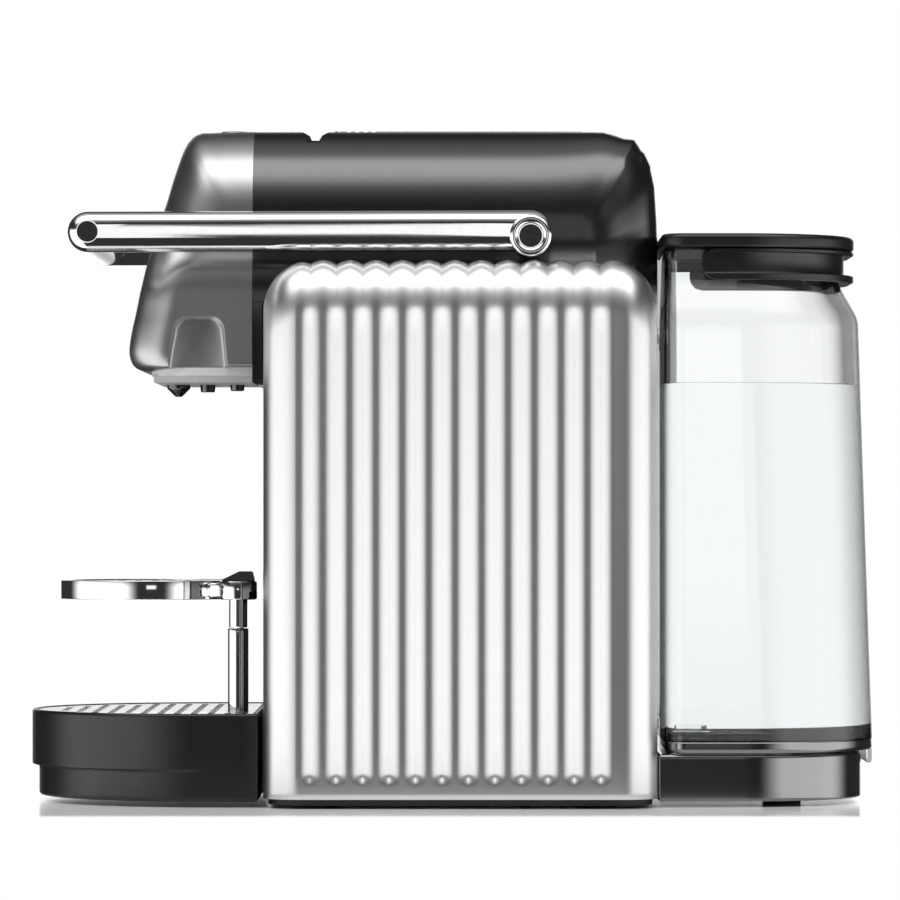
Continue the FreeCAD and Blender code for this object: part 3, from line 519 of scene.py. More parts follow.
COVER_PATH = ([(-94.0, 322.3)] + [(-94 + 8.0 * k, 322.3) for k in range(1, 20)] +
              [(66.0, 322.3), (72.9, 322.2), (78.0, 320.9), (82.8, 319.2), (88.0, 318.6), (89.6, 316.2), (92.7, 310.5), (95.6, 304.1), (97.4, 295.5),
               (98.4, 279.2), (98.8, 268), (98.8, 256), (98.8, 247), (98.8, 238.2)])
WZ = [(238, 0.0), (258, 0.0), (268, 0.1), (279.2, 0.3), (295.5, 0.64), (304.1, 0.82), (310.5, 0.93), (318.6, 1.0)]
WY = [(40, 0.0), (55, 0.12), (66, 0.26), (72.9, 0.38), (82.8, 0.6), (88.9, 0.75), (92.7, 0.86), (95.6, 0.95), (98.4, 1.0)]
ROLL = 43.0


def cover_inset(y, z):
    t = table(WY, y)
    return (-30.0 * t, -ROLL * table(WZ, z), table(WZ, z), lerp(ROLL, 30.0, t))


def build_pillow(name, path, inset, bottom, slot, inner):
    """Closed thin-walled shell, open underneath at height bottom."""
    grids = []
    for shift in (0, 1):
        pth = path
        if shift:
            pth = [(min(y, 98.8 - 3.0) if y > 60 else y, min(z, inner)) for y, z in path]
        cols = pillow_rows(pth, inset, 3.0 * shift, crown=1.0 - shift)
        full = []
        for c in cols:
            low = [(c[0][0], c[0][1], lerp(bottom, c[0][2], t / 14)) for t in range(14)]
            high = [(c[-1][0], c[-1][1], lerp(c[-1][2], bottom, t / 14)) for t in range(1, 15)]
            full.append(low + c + high)
        grids.append(full)
    n = len(grids[0][0])
    R = len(grids[0])
    verts = waisted([p for g in grids for r in g for p in r])
    off = n * R
    faces = []
    for i in range(R - 1):
        for j in range(n - 1):
            q = (i * n + j, (i + 1) * n + j, (i + 1) * n + j + 1, i * n + j + 1)
            faces.append(q)
            faces.append(tuple(off + k for k in reversed(q)))
    border = [i * n for i in range(R)] + [(R - 1) * n + j for j in range(1, n)] + [i * n + n - 1 for i in range(R - 2, -1, -1)] + [j for j in range(n - 2, 0, -1)]
    for k in range(len(border)):
        a_, b_ = border[k], border[(k + 1) % len(border)]
        faces.append((a_, off + a_, off + b_, b_))
    return make(name, verts, faces, slot, "chassis")


cover = build_pillow("cover_skin", COVER_PATH, cover_inset, 238.2, "black_satin", 313.5)
notch = [(-66.4, 316.2), (-62.8, 316.2), (-61.6, 319.0), (-55.0, 323.6), (-54.0, 330.0), (-75.0, 330.0), (-74.0, 323.2), (-67.3, 318.6)]
boolean(cover, prism_x(notch, -75, 75))
boolean(cover, block(-26.5, 26.5, -64.0, 110, 316.3, 330))
boolean(cover, block(-20.5, 20.5, -60.0, -28.0, 305, 330))
shade(cover, 32)
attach(cover, "chassis")

# black strip between nose and panels, running down from the cover to the head's lower edge
strip = []
for i, y in ((0.35, -94.0), (0.0, -93.7), (0.0, -89.3), (0.35, -89.0)):
    h, lo, hi = HW - i, 200.2 + i, 238.4
    strip.append([(-h, y, hi), (h, y, hi), (h, y, lo + 3), (h - 0.9, y, lo + 0.9), (h - 3, y, lo), (-(h - 3), y, lo), (-(h - 0.9), y, lo + 0.9), (-h, y, lo + 3)])
v, f = loft(strip)
make("head_strip", v, f, "black_satin", "chassis", ["top_cover"])

# nose
FRONT = smooth_path([(-145.9, 205.65), (-149.2, 206.9), (-151.4, 209.0), (-152.6, 211.8), (-153.1, 215.5), (-152.6, 220.5), (-151.4, 227), (-149.8, 234.0),
                     (-147.0, 247.9), (-143.1, 265.1), (-139.9, 276), (-136.3, 286.8), (-133.2, 298), (-130.3, 307.2), (-128.2, 312.9), (-125.9, 317.2), (-122.9, 320.3), (-119, 321.7)], 3)
NB = 8
BOTTOM = [(lerp(-94.0, -145.9, k / NB), 205.6) for k in range(NB)]
TOP = [(lerp(-119.0, -94.0, k / NB), lerp(321.7, 322.3, S(k / NB * 1.3))) for k in range(1, NB + 1)]
NOSE_PATH = BOTTOM + FRONT + TOP
CORNER = 20.0


def nose_inset(y, z):
    wz = min(1.0, max(0.0, (z - 243) / 79))
    if z <= 213:
        wy = min(1.0, max(0.0, (-94 - y) / 51))
        return (CORNER * wy, 3.5 * S((214 - z) / 6), 0.0, CORNER)
    wy = min(1.0, max(0.0, (-94 - y) / 31)) if z > 300 else 1.0
    return (CORNER * wy, -ROLL * wz, wz, lerp(CORNER, ROLL, wz))


cols = pillow_rows(NOSE_PATH, nose_inset)
n = len(cols[0])
verts = [p for c in cols for p in c]
faces = []
R = len(cols)
for i in range(R - 1):
    for j in range(n - 1):
        faces.append((i * n + j, i * n + j + 1, (i + 1) * n + j + 1, (i + 1) * n + j))
M = len(FRONT) - 1
rim = [(c[-1][1], c[-1][2]) for c in cols]
rb = [rim[j] for j in range(NB + 1)]
rt = [rim[R - 1 - j] for j in range(NB + 1)]
for sgn, col_i in ((1, n - 1), (-1, 0)):
    idx = []
    for i in range(M + 1):
        yf, zf = rim[NB + i]
        row = []
        for j in range(NB + 1):
            if j == NB:
                row.append((NB + i) * n + col_i)
                continue
            if i == 0:
                row.append(j * n + col_i)
                continue
            if i == M:
                row.append((R - 1 - j) * n + col_i)
                continue
            fr = lerp((rb[j][0] + 94) / (rb[NB][0] + 94), (rt[j][0] + 94) / (rt[NB][0] + 94), i / M)
            dz = lerp(rb[j][1] - rb[NB][1], rt[j][1] - rt[NB][1], i / M)
            row.append(len(verts))
            verts.append((sgn * HW, -94 + (yf + 94) * fr, zf + dz))
        idx.append(row)
    for i in range(M):
        for j in range(NB):
            q = (idx[i][j], idx[i][j + 1], idx[i + 1][j + 1], idx[i + 1][j])
            faces.append(q if sgn > 0 else q[::-1])
    if sgn > 0:
        right_edge = [idx[i][0] for i in range(M + 1)]
    else:
        left_edge = [idx[i][0] for i in range(M + 1)]
faces.append(tuple(range(n)) + tuple(right_edge[1:-1]) + tuple((R - 1) * n + j for j in range(n - 1, -1, -1)) + tuple(left_edge[1:-1][::-1]))
nose = make("nose_skin", waisted(verts), faces, "silver_nose", "chassis", ["nose_shell"], weld=0.001)


def arch_outline(g=0.0):
    a0, a1, zb, zt, r = -134.2 + g, -105.6 - g, 198.0, 231.4 - g, 7.0
    pts = [(a0, zb), (a0, 208), (a0 + 1.2, 216)]
    pts += [(a0 + 2.6 + (r - r * math.cos(t)), zt - r + r * math.sin(t)) for t in [PI / 2 * k / 8 for k in range(9)]]
    pts += [(a1 - 1.5 - (r - r * math.cos(t)), zt - r + r * math.sin(t)) for t in [PI / 2 * (1 - k / 8) for k in range(9)]]
    pts += [(a1 - 0.7, 216), (a1, 208), (a1, zb)]
    return pts


for sgn in (1, -1):
    rings = [(arch_outline(2.2), 67.2), (arch_outline(1.2), 67.6), (arch_outline(0.0), 69.6), (arch_outline(-0.6), 70.8), (arch_outline(-0.6), 74)]
    vf = loft([[(sgn * x, y, z) for y, z in pts] for pts, x in rings])
    boolean(nose, vf)
for k in (-1, 0, 1):
    boolean(nose, tube_z(20.0 * k, -104.0, 7.5, 312, 330))
shade(nose, 32)

# ------------------------------------------------------------------ capsule door in its channel
def top_strip(y0, y1, half, z_low, gap, ys, name, slot, body, node_name, edge=0.8):
    """Slab whose top follows the crown of the cover, with eased edges."""
    xs = [-half, -half + edge * 0.3, -half + edge] + [(-half + edge) + (2 * (half - edge)) * k / 12 for k in range(1, 12)] + [half - edge, half - edge * 0.3, half]
    rows = []
    for y, drop in ys:
        row = [(-half, y, z_low)]
        for x in xs:
            e = max(0.0, 1 - (half - abs(x)) / edge)
            row.append((x, y, 322.3 - crown_drop(x) - gap - drop - edge * 0.7 * e * e))
        row.append((half, y, z_low))
        rows.append(row)
    v, f = loft(rows)
    return make(name, v, f, slot, body, [node_name])


door_ys = [(-54.6, 1.0), (-54.3, 0.45), (-53.6, 0.1), (-52.6, 0.0)]
for k in range(4):
    c = -49.0 + 4.0 * k
    door_ys += [(c - 1.2, 0.0), (c - 0.8, 0.25), (c - 0.4, 0.75), (c, 0.9), (c + 0.4, 0.75), (c + 0.8, 0.25), (c + 1.2, 0.0)]
door_ys += [(-30 + 9.3 * k, 0.0) for k in range(10)] + [(62.4, 0.0), (63.3, 0.15), (63.8, 0.5), (64.0, 1.0)]
door_ys = sorted(door_ys)
door = top_strip(-54.6, 64, 26.0, 316.6, 0.0, door_ys, "door_skin", "black_satin", "capsule_door", "capsule_door")
lead = [(-63.4, 317.0), (-62.0, 318.9), (-55.4, 321.6), (-54.2, 321.7), (-54.2, 316.7), (-63.2, 316.7)]
v, f = prism_x(lead, -25.8, 25.8)
make("door_lip", v, f, "black_satin", "capsule_door")

# ------------------------------------------------------------------ buttons
for k, nm in ((-1, "button_left"), (0, "button_middle"), (1, "button_right")):
    t = 322.1 - crown_drop(20.0 * k)
    prof = [(0.6, 313.4), (0.0, 313.8), (0.0, t - 1.0)] + [(0.0 + 1.0 * (1 - math.cos(math.radians(a_))), t - 1.0 + 1.0 * math.sin(math.radians(a_))) for a_ in (22, 45, 67, 90)]
    prof += [(3.0, t - 0.05), (5.0, t - 0.25), (6.4, t - 0.35)]
    v, f = plan_loft(circle(20.0 * k, -104.0, 7.0, 64), prof)
    make(nm + "_skin", v, f, "button_grey", nm, [nm])

# ------------------------------------------------------------------ outlets under the nose
def lathe_z(name, cx, cy, prof, slot, body, reps, n=48):
    """prof: [(r, z)] from the bottom bore round the outside to the top."""
    rings = [[(cx + r * math.cos(2 * PI * k / n), cy + r * math.sin(2 * PI * k / n), z) for k in range(n)] for r, z in prof]
    v, f = loft(rings, cap0=False, cap1=False, loop=True)
    return make(name, v, f, slot, body, reps)


lathe_z("coffee_outlet_skin", 0, -131.8, [(1.2, 194.9), (1.5, 194.6), (1.8, 194.9), (2.6, 195.6), (4.6, 197.6), (5.5, 198.5), (5.7, 199.0), (5.7, 200.4), (1.2, 200.4)],
        "black_satin", "chassis", ["coffee_outlet"])
lathe_z("hot_water_outlet_skin", 0, -117.7, [(1.4, 197.0), (1.6, 196.8), (3.1, 196.8), (3.4, 197.1), (3.8, 200.0), (3.8, 200.4), (1.4, 200.4)],
        "black_satin", "chassis", ["hot_water_outlet"])
lathe_z("steam_outlet_skin", 0, -103.4, [(1.2, 197.6), (1.4, 197.4), (2.9, 197.4), (3.2, 197.7), (3.6, 200.0), (3.6, 200.4), (1.2, 200.4)],
        "black_satin", "chassis", ["steam_outlet"])

# ------------------------------------------------------------------ lever
BY, BZ, BR, QY, QZ = -171.2, 271.0, 9.6, 37.6, 269.0


def stadium(i):
    """Outline of the arm in Y, Z: round at the bar end, round at the hinge end."""
    r0, r1 = BR - i, 9.6 - i
    c0, c1 = (BY, BZ), (QY, QZ + 2.6)
    n = 28
    pts = [(c1[0] + r1 * math.cos(math.radians(lerp(-90, 90, k / n))), c1[1] + r1 * math.sin(math.radians(lerp(-90, 90, k / n)))) for k in range(n + 1)]
    pts += [(lerp(c1[0], c0[0], k / 10), lerp(c1[1] + r1, c0[1] + r0, k / 10)) for k in range(1, 10)]
    pts += [(c0[0] + r0 * math.cos(math.radians(lerp(90, 270, k / n))), c0[1] + r0 * math.sin(math.radians(lerp(90, 270, k / n)))) for k in range(n + 1)]
    pts += [(lerp(c0[0], c1[0], k / 10), lerp(c0[1] - r0, c1[1] - r1, k / 10)) for k in range(1, 10)]
    return pts


BOSS = (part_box("pivot_rings")[1][1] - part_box("pivot_rings")[0][1]) * 500.0


def arm_profile():
    p = [(1.0, 74.0), (0.3, 74.3), (0.0, 75.0), (0.0, 76.2)]
    for k in range(1, 15):
        t = math.radians(90 * k / 14)
        p.append((6.3 * (1 - math.cos(t)), 76.2 + 6.8 * math.sin(t)))
    return p


def cyl_x(cy, cz, r, x0, x1, n=64, ease=0.0):
    prof = [(0, x0), (0, x1 - ease)]
    if ease:
        prof += [(ease * (1 - math.cos(math.radians(a_))), x1 - ease + ease * math.sin(math.radians(a_))) for a_ in (22, 45, 67, 90)]
    return plan_loft(circle(cy, cz, r, n), prof, axis="x")


for side, sgn in (("right", 1), ("left", -1)):
    v, f = plan_loft(stadium, arm_profile(), axis="x")
    v2, f2 = cyl_x(QY, QZ, BOSS, 74.2, 83.0, ease=0.5)
    if sgn < 0:
        (v, f), (v2, f2) = mirror_x((v, f)), mirror_x((v2, f2))
    arm = make("lever_arm_skin_" + side, v, f, "chrome", "lever", ["lever_arm_" + side])
    lo, hi = (81.8, 90) if sgn > 0 else (-90, -81.8)
    c = cyl_x(BY, BZ, 5.4, lo, hi)
    boolean(arm, c)
    lo, hi = (74.0, 90) if sgn > 0 else (-90, -74.0)
    boolean(arm, cyl_x(QY, QZ, BOSS - 0.4, lo, hi))
    shade(arm, 28)
    boss = make("lever_boss_" + side, v2, f2, "chrome", "lever")
    lo, hi = (81.5, 90) if sgn > 0 else (-90, -81.5)
    boolean(boss, cyl_x(QY, QZ, 5.9, lo, hi))
    shade(boss, 28)
rings = []
for sgn in (1, -1):
    prof = []
    for k in range(13):
        t = math.radians(180 * k / 12)
        mid, hw_ = (BOSS + 5.9) / 2, (BOSS - 5.9) / 2
        prof.append((mid + hw_ * math.cos(t), 82.9 + 1.3 * math.sin(t)))
    n = 72
    rr = [[(sgn * x, QY + r * math.cos(2 * PI * k / n), QZ + r * math.sin(2 * PI * k / n)) for k in range(n)] for r, x in prof]
    rings.append(loft(rr, cap0=False, cap1=False, loop=True))
v = rings[0][0] + rings[1][0]
o_ = len(rings[0][0])
f = rings[0][1] + [tuple(i + o_ for i in q) for q in rings[1][1]]
make("pivot_ring_skins", v, f, "chrome", "lever", ["pivot_rings"])
v, f = plan_loft(circle(BY, BZ, 9.55, 72), [(0.5, -73.9), (0, -73.4)] + [(0, -73.4 + 14.68 * k) for k in range(1, 10)] + [(0, 73.4), (0.5, 73.9)], axis="x")
make("lever_bar_skin", v, f, "chrome", "lever", ["lever_bar"])

# ------------------------------------------------------------------ water tank, water, grip, lid
TANK = [(25.3, 84.0, 100.8, 202.4, 10, 62), (231.6, 80.5, 100.8, 195.7, 10, 60), (240.0, 76.2, 101.0, 190.8, 9, 56), (248.5, 72.0, 101.2, 186.0, 8, 52),
        (263.4, 71.5, 101.4, 185.6, 8, 52)]


def tank_at(z):
    for a_, c_ in zip(TANK, TANK[1:]):
        if z <= c_[0]:
            t = (z - a_[0]) / (c_[0] - a_[0])
            return [lerp(p, q, t) for p, q in zip(a_, c_)][1:]
    return list(TANK[-1][1:])


def tank_ring(z, i, n=20):
    """Tank outline at height z moved in by i, the shoulder softened by averaging over the height."""
    ps = [tank_at(min(263.4, max(25.3, z + dz))) for dz in (-3.0, -1.5, 0, 1.5, 3.0)]
    h, y0, y1, rf, rr = [sum(p[k] for p in ps) / len(ps) for k in range(5)]
    return [(x, y, z) for x, y in rrect(h, y0, y1, rf, rr, n)(i)]


zs_out = [(25.6, 2.7), (25.9, 1.5), (26.6, 0.65), (27.6, 0.3), (30.3, 0.3), (30.45, 0.0), (30.8, 0.0)] + [(30.8 + (222 - 30.8) * k / 12, 0.0) for k in range(1, 13)] + \
         [(222 + 2.2 * k, 0.0) for k in range(1, 16)] + [(258.0, 0.0), (262.4, 0.0), (263.0, 0.3), (263.4, 1.0)]
zs_in = [(27.8, 6.0), (28.1, 4.2), (29.0, 3.0), (31.0, 2.5)] + [(31.0 + (222 - 31.0) * k / 12, 2.5) for k in range(1, 13)] + \
        [(222 + 2.2 * k, 2.5) for k in range(1, 16)] + [(258.0, 2.5), (262.4, 2.5), (263.0, 2.2), (263.4, 1.5)]
outer_r = [tank_ring(z, i) for z, i in zs_out]
inner_r = [tank_ring(z, i) for z, i in zs_in]
v, f = loft(outer_r + inner_r[::-1])
tank = make("tank_skin", v, f, "clear_plastic", "water_tank", ["water_tank"], angle=60)
boolean(tank, tube_z(-25, 118, 8.0, 20, 33))
shade(tank, 60)
lip = [(199.7, 25.25), (199.7, 19.2), (200.1, 18.5), (201.2, 18.4), (202.0, 18.8), (202.3, 19.6), (202.35, 25.25)]
v, f = prism_x(lip, -21.5, 21.5)
make("tank_lip", v, f, "clear_plastic", "water_tank", angle=60)
foot = [(25.3, 2.3), (25.45, 1.2), (26.2, 0.35), (27.2, 0.0), (27.5, 0.0), (29.8, 0.0), (30.1, 0.0), (30.25, 0.1), (30.2, 0.25), (27.65, 0.25), (26.7, 0.55), (26.0, 1.35), (25.55, 2.5)]
v, f = loft([tank_ring(z, i) for z, i in foot], cap0=False, cap1=False, loop=True)
make("tank_foot", v, f, "black_gloss", "water_tank", weld=0.001)
WATER_Z = 200.0
wr = [tank_ring(z, i - 0.02) for z, i in zs_in if z < WATER_Z] + [tank_ring(WATER_Z - 0.6, 2.47), tank_ring(WATER_Z - 0.2, 2.6), tank_ring(WATER_Z, 3.4)]
v, f = loft(wr)
make("water_fill", v, f, None, "water_tank", mat=MAT["water"], angle=60)

GRIP = [(248.8, 74.6, 193.2), (249.1, 75.0, 193.6), (251.6, 75.0, 193.6), (252.0, 74.7, 193.2), (252.1, 74.0, 189.2), (252.6, 73.8, 189.0), (257.0, 73.8, 189.0),
        (261.0, 73.8, 189.0), (261.5, 74.0, 189.2), (261.6, 74.7, 193.2), (261.9, 75.0, 193.6), (263.2, 75.0, 193.6), (263.5, 74.6, 193.2)]
g_o = [[(x, y, z) for x, y in rrect(h, 96, y1, 8, 56, 18)(0)] for z, h, y1 in GRIP]
g_i = [[(x, y, z) for x, y in rrect(72.1, 90, 186.1, 8, 52, 18)(0)] for z in (263.5, 248.8)]
v, f = loft(g_o + g_i, cap0=False, cap1=False, loop=True)
grip = make("grip_skin", v, f, "black_satin", "water_tank", ["tank_grip"], mat=MAT["black_tray"])
zc, rc = 256.15, 7.4
cutter = [(85, 240), (85, 275), (118.6 + rc, 275)] + [(118.6 + rc - rc * math.cos(math.radians(a_)), zc + rc * math.sin(math.radians(a_))) for a_ in range(90, -91, -10)] + [(118.6 + rc, 240)]
boolean(grip, prism_x(cutter, -90, 90))
shade(grip, 32)

lid_prof = [(2.2, 263.9), (0.6, 264.2), (0.0, 264.9), (0.0, 268.2)] + [(2.3 * (1 - math.cos(math.radians(a_))), 268.2 + 2.3 * math.sin(math.radians(a_))) for a_ in (15, 30, 45, 60, 75, 90)]
lid_prof += [(7.0, 270.5), (8.0, 270.2), (8.8, 269.9), (14.0, 269.8), (30.0, 269.8)]
v, f = plan_loft(rrect(77, 99.4, 193.8, 12, 58, 18), lid_prof)
make("lid_skin", v, f, "black_satin", "tank_lid", ["tank_lid"], mat=MAT["black_tray"])
plug_o = rrect(68.3, 104.2, 182.4, 5, 48.5, 16)
pl = [(0.0, 263.9), (0.0, 258.4), (0.7, 257.6), (1.6, 257.6), (2.3, 258.4), (2.3, 262.9), (30, 262.9)]
v, f = plan_loft(plug_o, pl)
make("lid_plug_skin", v, f, "black_satin", "tank_lid", mat=MAT["black_tray"])

# ------------------------------------------------------------------ pedestal
pp = [(3.0, 2.6), (0.8, 2.7), (0.1, 3.3), (0.0, 4.0), (0.0, 4.3), (0.0, 22.7), (0.0, 23.0)] + [(2.0 * (1 - math.cos(math.radians(a_))), 23.0 + 2.0 * math.sin(math.radians(a_))) for a_ in (18, 36, 54, 72, 90)]
pp += [(20, 25.0)]
v, f = plan_loft(rrect(82, 97.6, 196.7, 1.2, 58, 24), pp)
ped = make("pedestal_skin", v, f, "black_gloss", "chassis", ["tank_pedestal"])
boolean(ped, tube_z(-25, 118, 8.6, 14.4, 40))
boolean(ped, loft([[(5.2 * math.cos(2 * PI * k / 40), y, 10 + 5.2 * math.sin(2 * PI * k / 40)) for k in range(40)] for y in (188, 202)]))
boolean(ped, block(-90, -75.2, 111.5, 132.5, 6.5, 20.5))
shade(ped, 32)
v, f = tube_z(-25, 118, 1.5, 14.4, 20.2, 24)
make("pedestal_pin", v, f, "black_gloss", "chassis")

# ------------------------------------------------------------------ drip tray and grid
TR, TCY, TB = 85.0, -117.4, -90.5


def dplan(i, n=56, back_by=0.0):
    r, back = TR - i, TB - i
    e = 1.2
    pts = [(r * math.cos(math.radians(lerp(180, 360, k / n))), TCY + back_by + r * math.sin(math.radians(lerp(180, 360, k / n)))) for k in range(n + 1)]
    pts += [(r, lerp(TCY, back - e, 0.5)), (r, back - e), (r - e * 0.3, back - e * 0.3), (r - e, back), (0.0, back), (-(r - e), back), (-(r - e * 0.3), back - e * 0.3), (-r, back - e),
            (-r, lerp(TCY, back - e, 0.5))]
    return pts


tp = [(2.0, 2.6, 3.4), (0.9, 2.8, 3.4), (0.2, 3.5, 3.4), (0.0, 4.4, 3.4), (0.0, 4.8, 3.4), (0.0, 15.4, 3.4), (0.0, 15.8, 3.4), (0.0, 16.6, 3.2), (0.0, 17.1, 2.6), (0.0, 17.4, 0.9), (0.0, 17.7, 0.2), (0.0, 18.3, 0.0), (0.0, 18.7, 0.0), (0.0, 42.2, 0.0), (0.0, 42.6, 0.0),
      (0.12, 43.2, 0.0), (0.45, 43.7, 0.0), (1.0, 43.97, 0.0), (1.5, 43.97, 0.0), (2.0, 43.7, 0.0), (2.35, 43.2, 0.0), (2.5, 42.6, 0.0), (2.5, 19.5, 0.0),
      (3.2, 17.8, 0.0), (5.6, 16.5, 0.0), (5.9, 15.5, 0.0), (5.9, 7.0, 0.0), (6.6, 5.6, 0.0), (8.4, 5.1, 0.0)]
v, f = loft([[(x, y, z) for x, y in dplan(i, back_by=sh)] for i, z, sh in tp])
tray = make("tray_skin", v, f, "black_satin", "drip_tray", ["drip_tray"], mat=MAT["black_tray"])
v, f = plan_loft(lambda i: [(x, y) for x, y in rrect(46 - 0, -91.0, 27.0, 1, 4, 6)(i)], [(0.4, 5.2), (0.0, 5.6), (0.0, 7.2), (0.4, 7.6)])
make("tray_tongue", v, f, "black_satin", "drip_tray")
v, f = plan_loft(circle(38.5, -101.6, 8.2, 40), [(0, 5.0), (0, 8.9), (0.3, 9.4), (0.8, 9.6), (3.0, 9.6)])
make("post_foot", v, f, "black_satin", "drip_tray")


def gplan(i):
    return [(x, y) for x, y in dplan(i + 3.05)]


v, f = plan_loft(gplan, [(0.5, 42.0), (0.1, 42.15), (0.0, 42.5), (0.0, 43.0), (0.1, 43.35), (0.5, 43.5)])
grid = make("grid_skin", v, f, "grid_steel", "drip_grid", ["drip_grid"])
cv, cf = [], []


def add(vf):
    o = len(cv)
    cv.extend(vf[0])
    cf.extend([tuple(i + o for i in q) for q in vf[1]])


for row in range(12):
    y = -193.5 + 8.0 * row
    wdt = math.sqrt(max(0.0, 77.0 ** 2 - max(0.0, -(y - 2.2) - 117.4) ** 2)) if y < -117.4 else 77.0
    n_ = int((wdt - 6.5) // 16)
    if wdt < 8:
        continue
    for k in range(-n_, n_ + 1):
        x = 16.0 * k
        if abs(x - 38.5) < 15 and abs(y + 101.6) < 9:
            continue
        pl_ = arc_pts(x + 4.7, y, 1.7, -90, 90, 8) + arc_pts(x - 4.7, y, 1.7, 90, 270, 8)
        add(loft([[(a_, c_, z) for a_, c_ in pl_] for z in (41.0, 45.0)]))
add(tube_z(38.5, -101.6, 5.6, 41.0, 45.0, 40))
boolean(grid, (cv, cf))
shade(grid, 32)

# ------------------------------------------------------------------ cup support
def sect(mid, half_w, z0, z1, r, n=4):
    """Rounded rectangle section (radius, z)."""
    pts = []
    for cx, cz, a0 in ((half_w - r, z1 - r, 0), (-(half_w - r), z1 - r, 90), (-(half_w - r), z0 + r, 180), (half_w - r, z0 + r, 270)):
        for k in range(n + 1):
            t = math.radians(a0 + 90 * k / n)
            pts.append((mid + cx + r * math.cos(t), cz + r * math.sin(t)))
    return pts


rings = [[(r * math.cos(2 * PI * k / 96), -144.0 + r * math.sin(2 * PI * k / 96), z) for k in range(96)] for r, z in sect(42.75, 2.25, 97.0, 106.0, 0.35)]
v, f = loft(rings, cap0=False, cap1=False, loop=True)
cring = make("cup_ring_skin", v, f, "chrome", "cup_support", ["cup_support_ring"])
PX, PY = 38.5, -101.6
link = math.hypot(PX, PY + 144.0)
ux, uy = PX / link, (PY + 144.0) / link


def neck_sec(d, hw_, z0, z1, r):
    cx, cy = ux * d, -144.0 + uy * d
    out = []
    for s_, z in sect(0.0, hw_, z0, z1, r, 4):
        out.append((cx - uy * s_, cy + ux * s_, z))
    return out


v, f = loft([neck_sec(d_, 6.4 - 1.4 * S((d_ - 43) / 6), 97.8, 105.2, 1.4) for d_ in (43.4, 44.5, 46.0, 48.0, 50.5, 52.0)])
make("cup_neck_skin", v, f, "chrome", "cup_support")
hp = [(1.0, 97.0), (0.3, 97.3), (0.0, 98.0), (0.0, 105.0), (0.3, 105.7), (1.0, 106.0), (5.0, 106.0)]
hub_r = (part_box("cup_support_ring")[1][0] * 1000 - PX)
v, f = plan_loft(circle(PX, PY, hub_r, 64), hp)
make("cup_hub_skin", v, f, "chrome", "cup_support")
v, f = plan_loft(circle(0, -144.0, 40.4, 96), [(0.4, 103.2), (0.0, 103.5), (0.0, 105.0), (0.4, 105.4), (2.0, 105.4)])
plate = make("cup_plate_skin", v, f, "steel", "cup_support", ["cup_support_plate"])
cv, cf = [], []
for k in (-2, -1, 0, 1, 2):
    y = -144.0 + 8 * k
    hw_ = 28.0 - 2.5 * abs(k)
    pl_ = arc_pts(hw_, y, 1.8, -90, 90, 8) + arc_pts(-hw_, y, 1.8, 90, 270, 8)
    add(loft([[(a_, c_, z) for a_, c_ in pl_] for z in (102.0, 107.0)]))
boolean(plate, (cv, cf))
shade(plate, 32)
v, f = plan_loft(circle(PX, PY, 4.9, 64), [(0, 5.5)] + [(0, 5.5 + 7.6 * k) for k in range(1, 11)] + [(0.0, 83.0), (0.1, 83.25), (0.4, 83.4), (2.34, 83.4), (2.34, 60.0)])
make("post_lower_skin", v, f, "chrome", "drip_tray", ["post_lower"])
v, f = plan_loft(circle(PX, PY, 4.4, 64), [(1.9, 62.0), (1.9, 83.6), (0.3, 83.7), (0.0, 84.0), (0.0, 90.0), (0.0, 98.0), (0.0, 107.2), (0.3, 107.5)])
make("post_upper_skin", v, f, "chrome", "cup_support", ["post_upper"])
tab = [(-109.3, 106.0), (-109.0, 106.7), (-101.6, 110.3), (-100.8, 110.6), (-95.2, 110.6), (-94.6, 110.2), (-93.7, 106.6), (-93.6, 106.0)]
rings = []
for x, e in ((33.0, 0.5), (33.3, 0.15), (34.0, 0.0), (43.0, 0.0), (43.7, 0.15), (44.0, 0.5)):
    cy_, cz_ = -101.0, 107.5
    rings.append([(x, cy_ + (y - cy_) * (1 - e / 7.0), max(106.0, cz_ + (z - cz_) * (1 - e / 4.0))) for y, z in tab])
v, f = loft(rings)
make("cup_tab_skin", v, f, "black_satin", "cup_support", ["cup_support_tab"])

# ------------------------------------------------------------------ world: a softbox on either side of the camera, one overhead, darker between them
w = bpy.data.worlds.new("studio")
scene.world = w
w.use_nodes = True
nt = w.node_tree
nt.nodes.clear()


def nd(kind, **kw):
    n = nt.nodes.new(kind)
    for k, v_ in kw.items():
        setattr(n, k, v_)
    return n


def math_n(op, a_, c_=None):
    n = nd("ShaderNodeMath", operation=op)
    for i, val in enumerate((a_, c_)):
        if val is None:
            continue
        if isinstance(val, (int, float)):
            n.inputs[i].default_value = val
        else:
            nt.links.new(val, n.inputs[i])
    return n.outputs[0]


def ramp(x, lo, hi, v0=0.0, v1=1.0):
    n = nd("ShaderNodeMapRange", interpolation_type="SMOOTHSTEP")
    n.inputs["From Min"].default_value = lo
    n.inputs["From Max"].default_value = hi
    n.inputs["To Min"].default_value = v0
    n.inputs["To Max"].default_value = v1
    nt.links.new(x, n.inputs["Value"])
    return n.outputs[0]


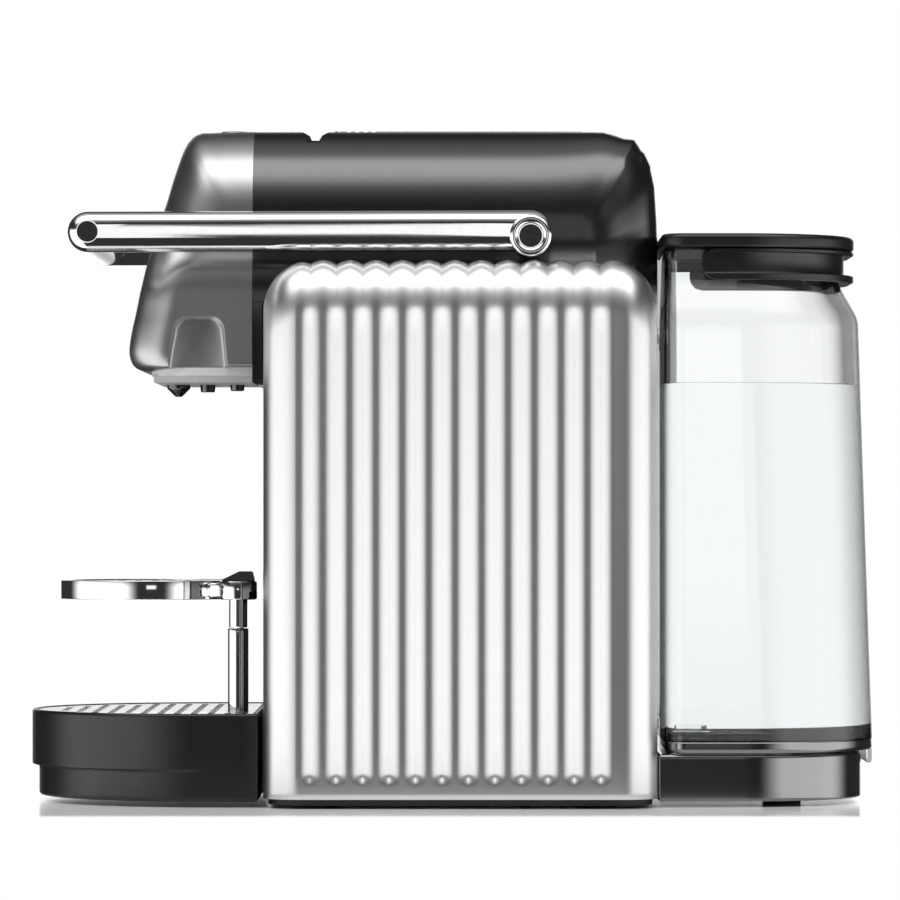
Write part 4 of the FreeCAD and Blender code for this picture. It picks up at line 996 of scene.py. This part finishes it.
tc = nd("ShaderNodeTexCoord")
sp = nd("ShaderNodeSeparateXYZ")
nt.links.new(tc.outputs["Generated"], sp.inputs[0])
X_, Y_, Z_ = sp.outputs
az = math_n("MULTIPLY", math_n("ABSOLUTE", math_n("ARCTAN2", Y_, X_)), 180 / PI)
el = math_n("MULTIPLY", math_n("ARCSINE", Z_), 180 / PI)
tilt = math_n("MULTIPLY", math_n("ARCTAN2", Z_, X_), 180 / PI)
side = math_n("MULTIPLY", ramp(az, 15, 40), ramp(az, 92, 122, 1, 0))
side = math_n("MULTIPLY", side, ramp(el, 2, 14, 1, 0))
over = math_n("MULTIPLY", ramp(tilt, 38, 62), ramp(tilt, 78, 94, 1, 0))
skirt = math_n("MULTIPLY", ramp(tilt, 12, 56), ramp(tilt, 92, 140, 1, 0))
over = math_n("ADD", over, math_n("MULTIPLY", skirt, 0.22))
over = math_n("MULTIPLY", over, ramp(math_n("ABSOLUTE", Y_), 0.55, 0.85, 1, 0))
back = math_n("MULTIPLY", ramp(az, 158, 168), math_n("MULTIPLY", ramp(el, -6, -1), ramp(el, 14, 24, 1, 0)))
card = math_n("MULTIPLY", ramp(az, 5, 6.5, 1, 0), math_n("MULTIPLY", ramp(el, 0.3, 1.3), ramp(el, 4.8, 6, 1, 0)))
total = math_n("ADD", math_n("MULTIPLY", side, 1.9), math_n("MULTIPLY", over, 2.7))
total = math_n("ADD", total, math_n("MULTIPLY", back, 1.4))
total = math_n("ADD", total, math_n("MULTIPLY", card, 1.2))
total = math_n("ADD", total, 0.035)
lit = nd("ShaderNodeBackground")
lit.inputs["Color"].default_value = (1, 1, 1, 1)
nt.links.new(total, lit.inputs["Strength"])
seen = nd("ShaderNodeBackground")
seen.inputs["Color"].default_value = (1, 1, 1, 1)
seen.inputs["Strength"].default_value = 1.0
lp = nd("ShaderNodeLightPath")
mx = nd("ShaderNodeMixShader")
nt.links.new(math_n("MAXIMUM", lp.outputs["Is Camera Ray"], lp.outputs["Is Transmission Ray"]), mx.inputs["Fac"])
nt.links.new(lit.outputs[0], mx.inputs[1])
nt.links.new(seen.outputs[0], mx.inputs[2])
out = nd("ShaderNodeOutputWorld")
nt.links.new(mx.outputs[0], out.inputs["Surface"])

# ------------------------------------------------------------------ floor: a pale glossy patch under the machine that fades away to white
fm, nt, fb = principled("floor_pale", (0.9, 0.9, 0.9), 0.16)
grain(nt, fb, 8, 0.01, 0.0004, rough=(0.14, 0.18))
g = nd("ShaderNodeNewGeometry")
sp = nd("ShaderNodeSeparateXYZ")
nt.links.new(g.outputs["Position"], sp.inputs[0])
dx = math_n("SUBTRACT", math_n("ABSOLUTE", math_n("SUBTRACT", sp.outputs[0], 0.012)), 0.135)
dy = math_n("SUBTRACT", math_n("ABSOLUTE", sp.outputs[1]), 0.185)
far = ramp(math_n("MAXIMUM", dx, dy), 0.0, 0.030)
clear = nd("ShaderNodeBsdfTransparent")
mxf = nd("ShaderNodeMixShader")
nt.links.new(far, mxf.inputs["Fac"])
nt.links.new(fb.outputs[0], mxf.inputs[1])
nt.links.new(clear.outputs[0], mxf.inputs[2])
nt.links.new(mxf.outputs[0], [n for n in nt.nodes if n.type == "OUTPUT_MATERIAL"][0].inputs["Surface"])
me = bpy.data.meshes.new("floor")
me.from_pydata([(-0.2, -0.25, 0), (0.2, -0.25, 0), (0.2, 0.25, 0), (-0.2, 0.25, 0)], [], [(0, 1, 2, 3)])
floor = bpy.data.objects.new("floor", me)
scene.collection.objects.link(floor)
me.materials.append(fm)
